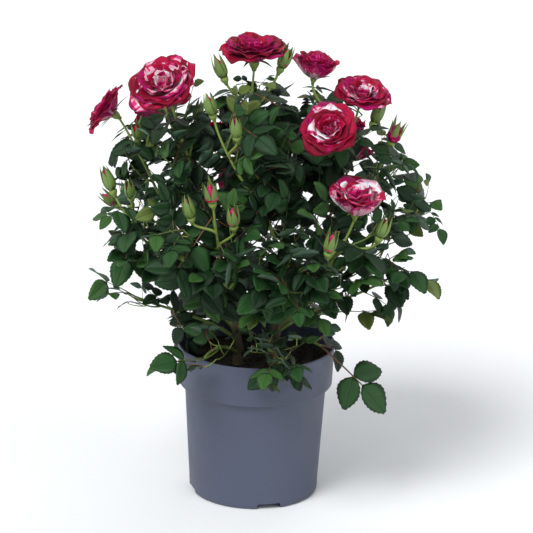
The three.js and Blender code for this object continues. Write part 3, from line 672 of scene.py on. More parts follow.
def distances(points, lines):
    """The distance of each point (n, 3) from each line of points (m, k, 3), as (n, m)."""
    start = lines[:, :-1].astype(np.float32)
    run = lines[:, 1:].astype(np.float32) - start
    away = points.astype(np.float32)[:, None, None] - start
    share = np.clip((away * run).sum(-1) / (run * run).sum(-1), 0, 1)
    return np.sqrt(((away - run * share[..., None]) ** 2).sum(-1).min(-1))


def all_shoots():
    shoots = []
    for stem, family in SHOOTS.items():
        for order, (name, tips, side_buds) in enumerate(family):
            place = order / (len(family) - 1)
            shoots.append(Shoot(len(shoots), name, stem, place, tips, side_buds))
    lines = np.array([shoot.line(0) for shoot in shoots])
    for shoot in shoots:
        others = np.delete(lines, shoot.index, 0)
        while shoot.enter > BOUGH.least and distances(shoot.at([shoot.enter]), others).min() > BOUGH.spread:
            shoot.enter -= BOUGH.step
    return shoots


def pot_inner(z):
    """The inner radius of the pot at heights."""
    heights = [POT.floor, POT.collar_at - POT.step, POT.collar_at, POT.height]
    return np.interp(z, heights, [POT.base, POT.shoulder, POT.collar_foot, POT.rim]) - POT.wall


class Space:
    """A grid of cells that tells which mass a place belongs to, and what has been filled."""

    cell = 3.0
    low = np.array([-138.0, -144.0, 66.0])
    high = np.array([159.0, 144.0, 363.0])

    def __init__(self, shoots):
        self.shape = np.ceil((self.high - self.low) / self.cell).astype(int)
        centres = self.low + (np.indices(self.shape).reshape(3, -1).T + 0.5) * self.cell
        owner = np.full(len(centres), -1)
        lines = np.array([shoot.line(shoot.enter) for shoot in shoots])
        for part in np.array_split(np.flatnonzero(crown_share(centres) < 1), 40):
            owner[part] = distances(centres[part], lines).argmin(1)
        outside = ((centres < BOX_LOW + self.cell) | (centres > BOX_HIGH - self.cell)).any(1)
        filled = outside | self.at_pot(*centres.T) | self.over_dome(*centres.T)
        beyond = self.past_dense(*centres.T)
        for shoot in shoots:
            if shoot.leafy:
                beyond &= np.linalg.norm(centres - shoot.at(1), axis=1) > PATCHES.room
        grids = (cells.reshape(self.shape) for cells in (owner, filled, beyond))
        self.owner, self.filled, self.beyond = grids

    def at_pot(self, x, y, z):
        """The wall of the pot, the places under the lowest leaves and the gaps that show the peat."""
        radius, inner = np.hypot(x, y), pot_inner(z)
        wall = (radius > inner - POT_ROOM.inside) & (radius < inner + POT.wall + POT_ROOM.outside)
        wall &= z < POT.height + POT_ROOM.above
        azimuth = np.degrees(np.arctan2(y, x))
        hanging = (radius > HANGING.radius) & (np.abs(azimuth - HANGING.azimuth) < HANGING.spread)
        lowest = np.maximum(LOWEST_LEAF.height, LOWEST_LEAF.front - y * LOWEST_LEAF.slope)
        gap = False
        for middle, half_width, height in PEAT_GAPS:
            seen = z + y * LOWEST_LEAF.slope
            gap |= (np.abs(x - middle) < half_width) & (np.abs(seen - height) < PEAT_GAP_HALF)
        return wall | (z < lowest) & ~hanging | gap & (y < 0)

    def over_dome(self, x, y, z):
        aside = x - DOME.middle
        dome = DOME.top - aside ** 2 / np.where(aside < 0, DOME.left, DOME.right)
        dome -= y ** 2 / DOME.depth + DOME.slope * np.clip(y, 0, None)
        return z > dome + DOME.ripple * ripple(SEED, DOME.ripple_size, x, y)

    def past_dense(self, x, y, z):
        """The open places outside the dense part of the crown."""
        past = np.hypot(x, y * PATCHES.depth) > np.interp(z, DENSE_HEIGHTS, DENSE_RADII)
        patches = ripple(SEED + 4, PATCHES.size, x, y, z) + PATCHES.fewer * (z < PATCHES.low)
        return past & (patches > PATCHES.open_below)

    def cells(self, points):
        place = ((points - self.low) / self.cell).astype(int)
        return tuple(np.moveaxis(np.clip(place, 0, self.shape - 1), -1, 0))

    def owned(self, points, index):
        return self.owner[self.cells(points)] == index

    def is_free(self, points, anywhere=False):
        """Whether there is room at places. Beyond the dense part there is, if it may be anywhere."""
        cells = self.cells(points)
        return ~self.filled[cells] & (anywhere | ~self.beyond[cells])

    def has_room(self, line, index):
        return self.owned(line, index).all() and self.is_free(line).all()

    def fill(self, points):
        self.filled[self.cells(points)] = True

    def fill_ball(self, centre, radius):
        steps = np.arange(-radius, radius + 1, self.cell * 0.9)
        ball = np.stack(np.meshgrid(steps, steps, steps), -1).reshape(-1, 3)
        self.fill(centre + ball[np.linalg.norm(ball, axis=1) <= radius])


# Leaves

def leaflets_of(count):
    """The (share of the rachis, angle, length) of each leaflet of a leaf, the end one first."""
    pairs = LEAFLET_PAIRS[len(LEAFLET_PAIRS) - (count - 1) // 2:]
    return [(1, 0, END_LEAFLET)] + [(share, side * LEAF.splay, length)
                                    for share, length in pairs for side in (-1, 1)]


def arch_at(share):
    """How far a rachis has sunk at a share of its length, and its slope there."""
    return -LEAF.arch * LEAF.rachis * share ** 2, -2 * LEAF.arch * share


def leaflet_frames(count):
    """For a leaf of size 1 along +X: each leaflet's foot, its frame as rows and its length."""
    feet, frames, lengths = [], [], []
    for share, turn, length in leaflets_of(count):
        sink, slope = arch_at(share)
        ahead = unit(heading(turn) + UP * (slope - LEAF.sag))
        feet.append([LEAF.rachis * share, 0, sink])
        frames.append([ahead, *sides_of(ahead, UP)])
        lengths.append(length)
    return np.array(feet), np.array(frames), np.array(lengths)


LEAF_FRAMES = {count: leaflet_frames(count) for count in (3, 5, 7)}
# The (turn, lift, share of its size) of each place that a leaf tries
LEAF_TRIES = [(turn, lift, share) for turn in LEAF.turns for lift in LEAF.lifts for share in LEAF.shares]
# Spots on a leaflet of length 1, at which a leaf's place is tested
SPOTS = np.array([[x, y * LEAFLET.width * width, 0] for x, width in ((0.18, 0.3), (0.5, 0.42), (0.8, 0.25))
                  for y in (-1, 0, 1)] + [[1.0, 0, 0], [0.05, 0, 0]])
EDGE_SPOTS = [0, 2, 3, 5, 6, 8, 9]


def spots_of(count, base, frames, sizes):
    """The spots of each leaflet of candidate leaves, as (candidates, leaflets, spots, 3)."""
    feet, turns, lengths = LEAF_FRAMES[count]
    local = feet[:, None] + np.einsum("lsk,lkm->lsm", SPOTS * lengths[:, None, None], turns)
    return base + np.einsum("lsk,ckm->clsm", local, frames) * sizes[:, None, None, None]


def nodes_of(branch, spin, draw):
    """The leaves of a branch: one at each node, turned by the golden angle, and one at a leafy one's end."""
    span = (branch.start, branch.end)
    count = max(2, round((branch.end - branch.start) * branch.length / LEAF.internode))
    highs = [1.0] * branch.leafy + [k / count for k in range(count)]
    for k, high in enumerate(highs):
        last = high == 1
        node = Values(t=1.0 if last else mix(span, high + 0.6 / count), high=high)
        node.spin = GOLDEN_ANGLE * k + spin + LEAF.stray * (draw() - 0.5)
        node.lean = LEAF.last_lean if last else mix(LEAF.lean, draw())
        node.size = last and branch.last or (
            mix(LEAF.sizes, draw()) * (1 - LEAF.shrink * high ** 3) * branch.big)
        node.roll = branch.roll * (2 * draw() - 1) * (0.3 if last else 1)
        node.droop = mix(LEAF.droop, draw()) * (1.1 - 0.6 * high)
        node.count = 3 if high > 0.8 else (7 if draw() > 0.75 else 5)
        node.anywhere = last and draw() < branch.stray
        node.face = branch.face if last else None
        yield node


def best_leaf(space, shoot, branch, node):
    """Of the places that a leaf may take at its node, the one that leaves it most room."""
    place, way = bezier(branch.controls, node.t), tangent(branch.controls, node.t)
    side, other = sides_of(way, branch.reference)
    turns, lifts, shares = np.array(LEAF_TRIES).T
    spin = np.radians(node.spin + turns)[:, None]
    away = side * np.cos(spin) + other * np.sin(spin)
    ways = unit(leaning(way, away, node.lean) + UP * (lifts - node.droop)[:, None])
    outwards = unit(place * (1, 1, 0)) * LEAF.outward
    if node.face is not None:
        outwards = heading(node.face) * LEAF.faced
    normals = UP + outwards + away * LEAF.aside + unit(np.cross(ways, UP)) * node.roll
    frames = np.stack([ways, *sides_of(ways, normals)], -2)
    sizes = node.size * shares
    spots = spots_of(node.count, place, frames, sizes)
    kept = space.owned(spots[:, :, EDGE_SPOTS], shoot.index).all(-1)
    kept &= space.is_free(spots, node.anywhere).all(-1)
    best = int((kept.sum(1) * sizes ** 2).argmax())
    if kept[best].sum() < LEAF.fewest * node.count:
        return None
    space.fill(spots[best][kept[best]])
    return Values(base=place, frame=frames[best], size=sizes[best], count=node.count, high=node.high,
                  kept=np.flatnonzero(kept[best]))


def leaflet_variant(rng):
    """A leaflet of length 1 along +X: its points, its surface coordinates, its faces and their skins."""
    teeth, base, tip = LEAFLET.teeth, LEAFLET.base, LEAFLET.tip
    fold, curl, twist = rng.uniform(0.04, 0.3), rng.uniform(0.02, 0.26), rng.uniform(-0.16, 0.16)
    wave = rng.uniform(0, 6.28)
    valleys = np.linspace(0, 1, teeth + 1)
    inner = valleys[1:-1]
    peaks = (valleys[:-1] + valleys[1:] * 3) / 4
    widest = base / (base + tip)
    rows = []

    def half(t):
        return (t / widest) ** base * ((1 - t) / (1 - widest)) ** tip * LEAFLET.width / 2

    def row(x, y, drop=0):
        """Adds a row of points and gives their numbers, with the midrib's ends for a row of inner ones."""
        first = sum(len(points) for points in rows)
        share = np.abs(y) / (LEAFLET.width / 2)
        z = fold * np.abs(y) * 1.1 - 0.05 * share ** 2 * fold - curl * x ** 2 + twist * x * y
        z = z + 0.018 * np.sin(9 * x + wave) * share - drop
        rows.append(np.stack([x, y, z], -1))
        numbers = list(range(first, first + len(x)))
        return [0, *numbers, teeth] if len(x) == len(inner) else numbers

    mid = row(valleys, 0 * valleys)
    under = row(inner, 0 * inner, LEAFLET.thickness)
    sides = {s: (row(inner + 0.02, s * half(inner) * 0.52), row(inner + 0.03, s * half(inner)),
                 row(peaks + 0.035, s * (half(peaks) + LEAFLET.tooth))) for s in (-1, 1)}
    faces, skins = [], []
    for i in range(teeth):
        for s, (middle, edge, peak) in sides.items():
            strips = ([mid[i], mid[i + 1], middle[i + 1], middle[i]],
                      [middle[i], middle[i + 1], edge[i + 1], peak[i], edge[i]],
                      [under[i], under[i + 1], edge[i + 1], peak[i], edge[i]])
            for skin, strip in zip((0, 0, 1), strips):
                for b, c in zip(strip[1:], strip[2:]):
                    if len({strip[0], b, c}) == 3:
                        faces.append((strip[0], b, c) if (s > 0) == (skin == 0) else (strip[0], c, b))
                        skins.append(skin)
    points = np.concatenate(rows)
    return points, points[:, :2] / (1, LEAFLET.width / 2), np.array(faces), np.array(skins)


leaflet_draws = np.random.default_rng(SEED)
VARIANTS = [leaflet_variant(leaflet_draws) for _ in range(LEAFLET.variants)]


def tint_of(leaf, rng):
    """A leaf's tints: young and bright towards a twig's tip, with painted light that brightens it towards
    the crown's outside and painted shade that darkens it inside and low down.
    """
    place = leaf.base + leaf.frame[0] * LEAF.rachis
    # Age raises the score towards a twig's tip; the crown's share adds painted light outside and painted
    # shade inside, and leaves low down get more painted shade
    score = 0.9 * leaf.high ** 2 + crown_share(place) - 0.5 * (place[2] < SHADED_LEAVES_BELOW) + rng.normal(0, 0.35)
    return int(np.searchsorted(TINT_STEPS, score)), len(LEAF_TINTS) + int(rng.uniform() < 0.35)


def add_leaf(leaf, leaves, twigs, rng):
    """A compound leaf: its stalk and rachis go to the twigs, and its leaflets to the leaves."""
    feet, turns, lengths = LEAF_FRAMES[leaf.count]
    top, under = tint_of(leaf, rng)
    shares = np.linspace(0, max(leaflets_of(leaf.count)[k][0] for k in leaf.kept), len(RACHIS_GIRTHS))
    local = np.stack([LEAF.rachis * shares, 0 * shares, arch_at(shares)[0]], -1) * leaf.size
    radii = LEAF.stalk * leaf.size * np.array(RACHIS_GIRTHS)
    red = rng.uniform() < 0.45
    twigs.add(*tube(leaf.base + local @ leaf.frame, radii, 4, leaf.frame[1]),
              GREEN["leafstalk_red" if red else "leafstalk"])
    for k in leaf.kept:
        shape, coords, faces, skins = VARIANTS[rng.integers(len(VARIANTS))]
        size = lengths[k] * rng.uniform(0.92, 1.06)
        turn = math.degrees(rng.normal(0, 0.1))
        x, y, z = turns[k]
        wobbled = np.array([x, leaning(y, z, turn), leaning(z, -y, turn)])
        placed = (feet[k] + shape * size @ wobbled) * leaf.size
        leaves.add(leaf.base + placed @ leaf.frame, faces, np.where(skins == 0, top, under), coords)


# Flowers

def petal_half_widths(half_width):
    """The half widths of a petal from its claw to its crown."""
    v = np.linspace(0, 1, PETAL.rows + 1)
    claw = PETAL.claw + (1 - PETAL.claw) * np.sin(np.minimum(v / PETAL.widest, 1) * math.pi / 2)
    past_widest = np.clip((v - PETAL.widest) / (1 - PETAL.widest), 0, 1)
    return half_width * claw * (1 - PETAL.crown * past_widest ** 2)


def petal_tints(cells, rng, pale):
    """Ragged pale streaks that run up from a petal's base into the red, and a deeper back."""
    skin, row, column = cells.T
    columns = np.arange(PETAL.columns)
    ends = pale + STREAK.reach * ripple(rng.integers(1 << 30), STREAK.width, columns)
    ends += rng.uniform(-STREAK.ragged, STREAK.ragged, PETAL.columns)
    above = (row + 0.5) / PETAL.rows - ends[column]
    dark = ripple(rng.integers(1 << 30), STREAK.dark_width, columns) > rng.choice(STREAK.dark)
    plain = np.where(dark[column], PETALS.crimson, rng.choice([PETALS.red, PETALS.magenta], p=STREAK.reds))
    pales = [PETALS.white, PETALS.blush, PETALS.rose]
    front = np.select([above < step for step in STREAK.front], pales, plain)
    streak = (rng.uniform(size=PETAL.columns) < STREAK.behind)[column]
    behind = np.select([above < -0.4, (above < -0.15) | streak & (above < 0.2)], pales[1:], PETALS.magenta)
    return np.where(skin == 1, behind, front)


def petal_shapes(tip, rng):
    """The petals of a flower that faces +Z, scaled so that the outer ones reach its width."""
    rule = FLOWERS[tip.kind]
    radius = tip.width / 2
    u = np.linspace(-1, 1, PETAL.columns + 1)
    v = np.linspace(0, 1, PETAL.rows + 1)
    high = v[:, None]
    faces, cells = sheet_faces(PETAL)
    petals, reaches = [], []
    for k in range(rule.petals):
        f = (k / (rule.petals - 1)) ** 0.8
        length = radius * mix(rule.shares, f) * rng.uniform(0.93, 1.05)
        rise = mix(rule.rise, f) + rng.normal(0, 2)
        end = mix(rule.tip, f ** 1.2) + rng.normal(0, 9 * f + 2)
        roll = rng.uniform(4, 34) * f
        angles = rise + (end - rise) * v ** 1.25 + roll * np.clip((v - 0.75) / 0.25, 0, 1)
        wave = np.sin(5.5 * u + rng.uniform(0, 6.28))
        ruffle = length * (0.045 * high ** 3 * wave - 0.09 * f * high ** 4 * u ** 2)
        half_widths = petal_half_widths(length * PETAL.width * mix((0.8, 1.08), f))
        start = (0.5 + 0.09 * radius * f, radius * 0.26 - 1.4 * f)
        curl = length * mix((0.42, 1.05), f)
        points, coords = blade(angles, length, half_widths, curl, PETAL, start, ruffle, rng.uniform(0.8, 2))
        points = turned(points, GOLDEN_ANGLE * k + rng.normal(0, 5))
        pale = mix((0.95, 0.42), f) + tip.pale + rng.normal(0, 0.2)
        petals.append((points, coords, petal_tints(cells, rng, pale)))
        reaches.append(np.hypot(points[:, 0], points[:, 1]).max())
    wider = radius / np.mean(sorted(reaches)[-rule.petals // 3:])
    return [(points * (wider, wider, 1), faces, tints, coords) for points, coords, tints in petals]


def calyx(green, rows, foot, hip, sepals, angles, spin, rng):
    """A hip and five sepals around +Z, placed in a frame.

    hip is its radius and height. sepals is their length, half width and curl, and angles draws the angles
    of one of them.
    """
    radius, height = hip
    length, half, curl = sepals
    profile = [(0, -2.2), (radius * 0.42, -2.2), (radius * 0.5, -0.6), (radius * 0.85, height * 0.25),
               (radius, height * 0.6), (radius * 0.8, height * 0.95), (0, height)]
    points, faces = lathe(profile, HIP_SIDES)
    green.add(foot + points @ rows, faces, GREEN["hip"])
    faces, _ = sheet_faces(SEPAL)
    v = np.linspace(0, 1, SEPAL.rows + 1)
    half_widths = half * (0.8 + 0.45 * v) * (1 - v) ** 0.6 + 0.12
    for k in range(SEPAL.count):
        size = length * rng.uniform(0.88, 1.1)
        points, _ = blade(angles(v), size, half_widths, curl, SEPAL, (radius * 0.72, height * 0.9))
        points = turned(points, spin + 360 / SEPAL.count * k + rng.normal(0, 3))
        green.add(foot + points @ rows, faces, GREEN["sepal"])


def fitting(points, foot):
    """How far a flower is scaled down about its foot, so that it stays inside the object's box."""
    limits = np.where(points > foot, BOX_HIGH - BOX_MARGIN, BOX_LOW + BOX_MARGIN)
    return min(1, ((limits - foot) / (points - foot + 1e-9)).min())


def add_flower(tip, petals, green, rng):
    rows = basis_along(tip.facing)
    spin = rng.uniform(0, 360)
    shapes = petal_shapes(tip, rng)
    placed = [tip.foot + turned(points, spin) @ rows for points, *_ in shapes]
    scale = fitting(np.concatenate(placed), tip.foot)
    for points, (_, *looks) in zip(placed, shapes):
        petals.add(tip.foot + (points - tip.foot) * scale, *looks)

    def angles(v):
        return mix((70 + rng.normal(0, 6), FLOWERS[tip.kind].sepals + rng.normal(0, 14)), v)

    hip = (tip.width * 0.065 + 0.6, tip.width * 0.13)
    calyx(green, rows, tip.foot, hip, (tip.width * 0.36, 2.1, 4), angles, spin, rng)


def add_bud(tip, petals, green, rng):
    """A bud: petals wound to a point, held by five sepals that open as it reddens."""
    rows = basis_along(tip.facing)
    length, radius = BUD.length * tip.scale, BUD.width / 2 * tip.scale * (1.08 + 0.06 * tip.red)
    hip_height = length * 0.24
    girth = radius * mix((0.8, 0.98), tip.red)
    profile = [(girth * width, hip_height * 0.8 + share * (length - hip_height))
               for share, width in BUD_GIRTHS]
    points, faces = lathe([(0, hip_height * 0.7), *profile, (0, length)], BUD.sides)

    def wound(places):
        return np.arctan2(places[:, 1], places[:, 0]) + places[:, 2] / length * BUD.twist

    points[:, :2] *= 0.97 + 0.09 * np.abs(np.sin(BUD.folds / 2 * wound(points)))[:, None]
    stripes = ripple(rng.integers(1 << 30), 0.35, wound(points[faces].mean(1)))
    tints = np.select([stripes > 0.1, stripes > -0.25], [PETALS.red, PETALS.rose], PETALS.magenta)
    petals.add(tip.foot + points @ rows, faces, tints)

    def angles(v):
        flare = rng.uniform(-2, 3) + 26 * tip.red
        return np.interp(v, SEPAL_PLACES, SEPAL_ANGLES + flare * SEPAL_OPENING)

    sepals = (length * 0.98, radius * mix((1.0, 0.66), tip.red), radius * 1.02)
    calyx(green, rows, tip.foot, (radius * 0.62, hip_height), sepals, angles, rng.uniform(0, 72), rng)


# Limbs

def stem_radius(share):
    flare = np.clip(1 - share / STEM.flare, 0, None) ** 2
    return mix(STEM.radii, share) + (STEM.foot - STEM.radii[0]) * flare


def bough_radius(share):
    return mix(BOUGH.radii, share)


def twig_radius(share):
    return mix(TWIG.radii, share)


def relief_tube(controls, end, radius_at, reference, skin, seed):
    """A limb with low ridges along it and a swelling at each node, and its surface coordinates."""
    share = np.linspace(0, 1, skin.rings)
    line = bezier(controls, end * share)
    along = share[None] * length_of(line)
    angle = circle(skin.sides)[:, None]
    ridges = ripple(seed, 0.9, 3 * np.cos(angle), 3 * np.sin(angle), along / 9)
    lumps = ripple(seed + 1, 1.0, 1.3 * np.cos(angle), 1.3 * np.sin(angle), along / 3.5)
    nodes = np.exp(-((along / 13 + seed * 0.37) % 1 - 0.5) ** 2 / 0.012)
    radii = radius_at(share)[None] * (1 + skin.relief * (0.5 * ridges + 0.5 * lumps) + 0.09 * nodes)
    around = np.tile(angle.ravel() / 6.28, skin.rings)
    coords = np.concatenate([np.column_stack([np.repeat(share, skin.sides), around]), [[0, 0], [1, 0]]])
    return *tube(line, radii, skin.sides, reference), coords


def prickle(base, out, length, down):
    """A small hooked thorn that stands out of a limb."""
    hook = [base + (out * reach + down * drop) * length for reach, drop in PRICKLE_HOOK]
    return tube(np.array([base - out * 0.5, *hook]), PRICKLE_RADII * length, 5, np.cross(out, down))


def add_prickles(bunch, controls, span, radius_at, skin, tint, rng):
    for _ in range(int(length_of(bezier(controls, np.linspace(*span, 60))) / skin.spacing)):
        share = rng.uniform(0.05, 0.95)
        way = tangent(controls, mix(span, share))
        rows = basis_along(way)
        angle = rng.uniform(0, 2 * math.pi)
        out = rows[0] * math.cos(angle) + rows[1] * math.sin(angle)
        base = bezier(controls, mix(span, share)) + out * radius_at(share) * 0.8
        bunch.add(*prickle(base, out, skin.prickle * rng.uniform(0.7, 1.2), -way), tint)


def make_limb(name, node, controls, end, radius_at, reference, skin, seed, materials):
    """The piece of a stem or bough, from the start of its curve to a share of it."""
    bunch = Bunch()
    points, faces, coords = relief_tube(controls, end, radius_at, reference, skin, seed)
    points[:, 2] = np.maximum(points[:, 2], SOIL_TOP)
    bunch.add(points, faces, 0, coords)
    span = [share * end for share in skin.prickly]
    add_prickles(bunch, controls, span, radius_at, skin, 1, np.random.default_rng(seed))
    bunch.piece(name, materials, "bark", [node])


def make_limbs(shoots):
    prickles = green_materials[GREEN["prickle"]]
    woody = [bark_material("bark_woody", 0.5, WOODY_BARK), prickles]
    green = [bark_material("bark_green", 0.25, GREEN_BARK), prickles]
    for number, (name, azimuth) in enumerate(STEM_AZIMUTHS.items()):
        make_limb(f"cane_{name}", f"stem_{name}", stem_controls(name), 1, stem_radius,
                  heading(azimuth + 90), STEM_SKIN, SEED + number, woody)
    for shoot in shoots:
        make_limb(f"limb_{shoot.name}", f"bough_{shoot.name}", shoot.controls, shoot.enter, bough_radius,
                  shoot.reference, BOUGH_SKIN, SEED + shoot.index, green)


# Masses

def curve_tube(bunch, controls, start, end, radii, sides, rings, tint, reference=None):
    share = np.linspace(0, 1, rings)
    line = bezier(controls, start + (end - start) * share)
    if reference is None:
        run = line[-1] - line[0]
        reference = np.cross(run, UP)
        if np.linalg.norm(reference) < 0.05 * np.linalg.norm(run):
            reference = np.array([1.0, 0, 0])
    bunch.add(*tube(line, mix(radii, share), sides, unit(reference)), tint)


def changed(values, **changes):
    return Values(**vars(values) | changes)


def side_twigs(space, shoot, branch, rule, draw):
    """The side twigs of a branch, set like its leaves, where they keep to the mass's own space."""
    every = rule.every / branch.thick
    count = max(1, round((branch.end - branch.start) * branch.length / every))
    found = []
    for k in range(count):
        t = mix((branch.start, branch.end), (k + 0.5) / count)
        place, way = bezier(branch.controls, t), tangent(branch.controls, t)
        side, other = sides_of(way, branch.reference)
        for tried in range(SIDE_TWIG.tries):
            spin = GOLDEN_ANGLE * (k + tried) + SIDE_TWIG.turn * shoot.index + SIDE_TWIG.stray * draw()
            lean = mix(rule.lean, draw())
            length = mix(rule.lengths, draw()) * (1 - SIDE_TWIG.shorter * tried)
            away = leaning(side, other, spin)
            ahead = unit(leaning(way, away, lean))
            end = place + unit(ahead + UP * SIDE_TWIG.lift) * length
            controls = [place, place + ahead * length * SIDE_TWIG.bend, end]
            line = bezier(controls, np.linspace(SIDE_TWIG.start, 1, 8))
            if space.has_room(line, shoot.index):
                space.fill(line)
                found.append(changed(
                    branch, controls=controls, start=SIDE_TWIG.start, end=SIDE_TWIG.end, length=length,
                    leafy=True, reference=unit(np.cross(away, end - place)), last=None, stray=rule.stray,
                    face=None, rule=rule, parent=branch, foot=t))
                break
    return found


def side_buds(space, shoot, draw):
    """The buds that are added by rule beside a shoot's flowers, where they fit, with their stalks."""
    made = 0
    for tried in range(SIDE_BUD.tries):
        if made == shoot.side_buds:
            return
        t = 1 - SIDE_BUD.below - SIDE_BUD.step * tried
        spin = shoot.azimuth + 90 + SIDE_BUD.turn * tried + SIDE_BUD.stray * (draw() - 0.5)
        lean = mix(SIDE_BUD.spreads, draw())
        reach = mix(SIDE_BUD.stalks, draw())
        start = shoot.at(t)
        way = unit(leaning(tangent(shoot.controls, t), heading(spin), lean))
        foot = start + way * reach
        if space.has_room(foot + way * np.linspace(-reach * 0.5, BUD.length, 8)[:, None], shoot.index):
            made += 1
            tip = Values(foot=foot, facing=way, scale=SIDE_BUD.scale, red=SIDE_BUD.red * draw())
            yield [start, start + way * reach / 2, foot], tip


def clear_flowers(space, shoot):
    """Keeps the leaves clear of a shoot's flowers and of their stalks, so that they show from outside."""
    for tip, stalk in zip(shoot.tips, shoot.stalks):
        if tip.kind == "leaf":
            continue
        room = BUD_ROOM if tip.kind == "bud" else FLOWER_ROOM
        middle = tip.foot + tip.facing * tip.depth * 0.6
        line = bezier(stalk, np.linspace(room.stalk, 1, 8))
        for away in np.arange(0, room.outwards, ROOM_STEP):
            outwards = heading(tip.azimuth) * away
            space.fill_ball(middle + outwards, tip.width / 2 + room.around)
            for point in line:
                space.fill_ball(point + outwards, STALK_ROOM)


def branches_of(space, shoot, draw):
    """A shoot's trunk with the stalks of its further flowers, and its side twigs of both orders."""
    first = shoot.tips[0]
    trunk = Values(controls=shoot.controls, start=shoot.enter, length=shoot.length, leafy=shoot.leafy,
                   end=0.97 if shoot.leafy else 1 - LEAF.bare_top / shoot.length, reference=shoot.reference,
                   roll=LEAF.flat_roll if abs(shoot.azimuth) < LEAF.flat_side else LEAF.roll, reach=0,
                   thick=first.thick, last=first.end, big=first.big, stray=1, face=first.leaf_face)
    main = [trunk] + [changed(trunk, controls=stalk, start=0.1, end=0.66, leafy=False, big=STALK.leaves,
                              length=shoot.length * STALK.share)
                      for tip, stalk in zip(shoot.tips[1:], shoot.stalks[1:]) if tip.kind in FLOWERS]
    orders = [main]
    for rule in SIDE_TWIGS:
        orders.append([])
        for branch in orders[-2]:
            orders[-1] += side_twigs(space, shoot, branch, rule, draw)
    return orders


def grow_mass(space, shoot, bunches):
    """A mass: its twig, flowers and side buds, then side twigs, then leaves wherever they find room."""
    rng = np.random.default_rng(SEED + 101 * shoot.index)
    draw = rng.uniform
    leaves, twigs, petals, green = bunches
    young = GREEN["twig_young"]
    curve_tube(twigs, shoot.controls, shoot.enter, 1, TWIG.radii, TWIG.sides, TWIG.rings,
               GREEN["twig_green"] if shoot.leafy else young, shoot.reference)
    add_prickles(twigs, shoot.controls, (shoot.enter, 0.9), twig_radius, TWIG, GREEN["prickle"], rng)
    for k, (tip, stalk) in enumerate(zip(shoot.tips, shoot.stalks)):
        if k:
            curve_tube(twigs, stalk, 0, 1, (STALK.radius * 1.25, STALK.radius), 6, 14, young)
        if tip.kind == "bud":
            add_bud(tip, petals, green, rng)
        elif tip.kind in FLOWERS:
            add_flower(tip, petals, green, rng)
    for stalk, tip in side_buds(space, shoot, draw):
        curve_tube(twigs, stalk, 0, 1, (STALK.radius, STALK.radius * 0.8), 5, 8, young)
        space.fill_ball(tip.foot + tip.facing * BUD.length / 2, BUD.width / 2 + 1)
        add_bud(tip, petals, green, rng)
    main, first, second = branches_of(space, shoot, draw)
    for branch in main + first + second:
        for node in nodes_of(branch, 60 * shoot.index, draw):
            leaf = best_leaf(space, shoot, branch, node)
            if leaf:
                add_leaf(leaf, leaves, twigs, rng)
                branch.reach = max(branch.reach, node.t)
    for twig in second + first:
        if twig.reach:
            twig.parent.reach = max(twig.parent.reach, twig.foot)
            curve_tube(twigs, twig.controls, 0, twig.reach, twig.rule.radii, 5, 8, GREEN[twig.rule.tint],
                       twig.reference)


def make_masses(shoots):
    space = Space(shoots)
    for shoot in shoots:
        space.fill(shoot.at(np.linspace(0, 1, 160)))
        clear_flowers(space, shoot)
        for stalk in shoot.stalks[1:]:
            space.fill(bezier(stalk, np.linspace(0.1, 1, 60)))
    kinds = {"leaves": leaf_materials, "twigs": green_materials, "petals": petal_materials,
             "calyces": green_materials}
    for stem in SHOOTS:
        bunches = [Bunch() for _ in kinds]
        family = [shoot for shoot in shoots if shoot.stem == stem]
        for shoot in family:
            grow_mass(space, shoot, bunches)
        nodes = [f"foliage_{shoot.name}" for shoot in family]
        for bunch, (kind, materials) in zip(bunches, kinds.items()):
            bunch.piece(f"{kind}_{stem}", materials, "foliage", nodes)


# The pot and the peat

def arc(x, z, radius, start, end, steps):
    angles = np.radians(np.linspace(start, end, steps))
    return [(x + radius * math.cos(a), z + radius * math.sin(a)) for a in angles]


def straight(radii, heights, shares):
    return [(mix(radii, share), mix(heights, share)) for share in shares]


def pot_profile():
    foot, base, rim, top, wall = POT.collar_at, POT.base, POT.rim, POT.height, POT.wall
    shoulder, collar, rounding = POT.shoulder, POT.collar_foot, POT.base_rounding
    side = straight((base, shoulder), (rounding, foot - POT.step - 0.6), np.linspace(0.1, 1, 10))
    ledge = [(shoulder + 0.1, foot - 3), (shoulder + 0.7, foot - 1.7), (collar - 1, foot - 0.7)]
    band = straight((collar + 0.1, rim - 0.35), (foot + 1, top - 3.2), np.linspace(0, 1, 8))
    inner = [(rim - wall - 0.3, top - 3), (collar - wall, foot), (shoulder - wall, foot - POT.step),
             (base - wall, POT.floor + 2), (base - wall - 2, POT.floor)]
    return [(0, 0), (base - rounding - 1, 0), *arc(base - rounding, rounding, rounding, -80, 0, 6),
            *side, *ledge, *arc(collar - 0.7, foot + 0.4, 0.8, -50, 0, 4), *band, (rim - 0.02, top - 2.6),
            *arc(rim - wall / 2, top - wall / 2, wall / 2, 0, 180, 8), *inner, (0, POT.floor)]


def channel_cutter():
    """The tool that cuts the drainage channels: a block with bevelled top edges for each."""
    half, top, chamfer = DRAIN.width / 2, DRAIN.height, DRAIN.chamfer
    section = [(-half, -top), (half, -top), (half, top - chamfer), (half - chamfer, top),
               (chamfer - half, top), (-half, top - chamfer)]
    near = np.array([(DRAIN.inner, y, z) for y, z in section])
    far = near + (POT.rim - DRAIN.inner, 0, 0)
    block = np.array([*far, *near, far.mean(0), near.mean(0)])
    faces = tube_faces(2, len(section))[:, ::-1]
    cutter = Bunch()
    for k in range(DRAIN.count):
        cutter.add(turned(block, DRAIN.azimuth + 360 / DRAIN.count * k), faces)
    return cutter.piece("cutter", [], "pot_plastic")


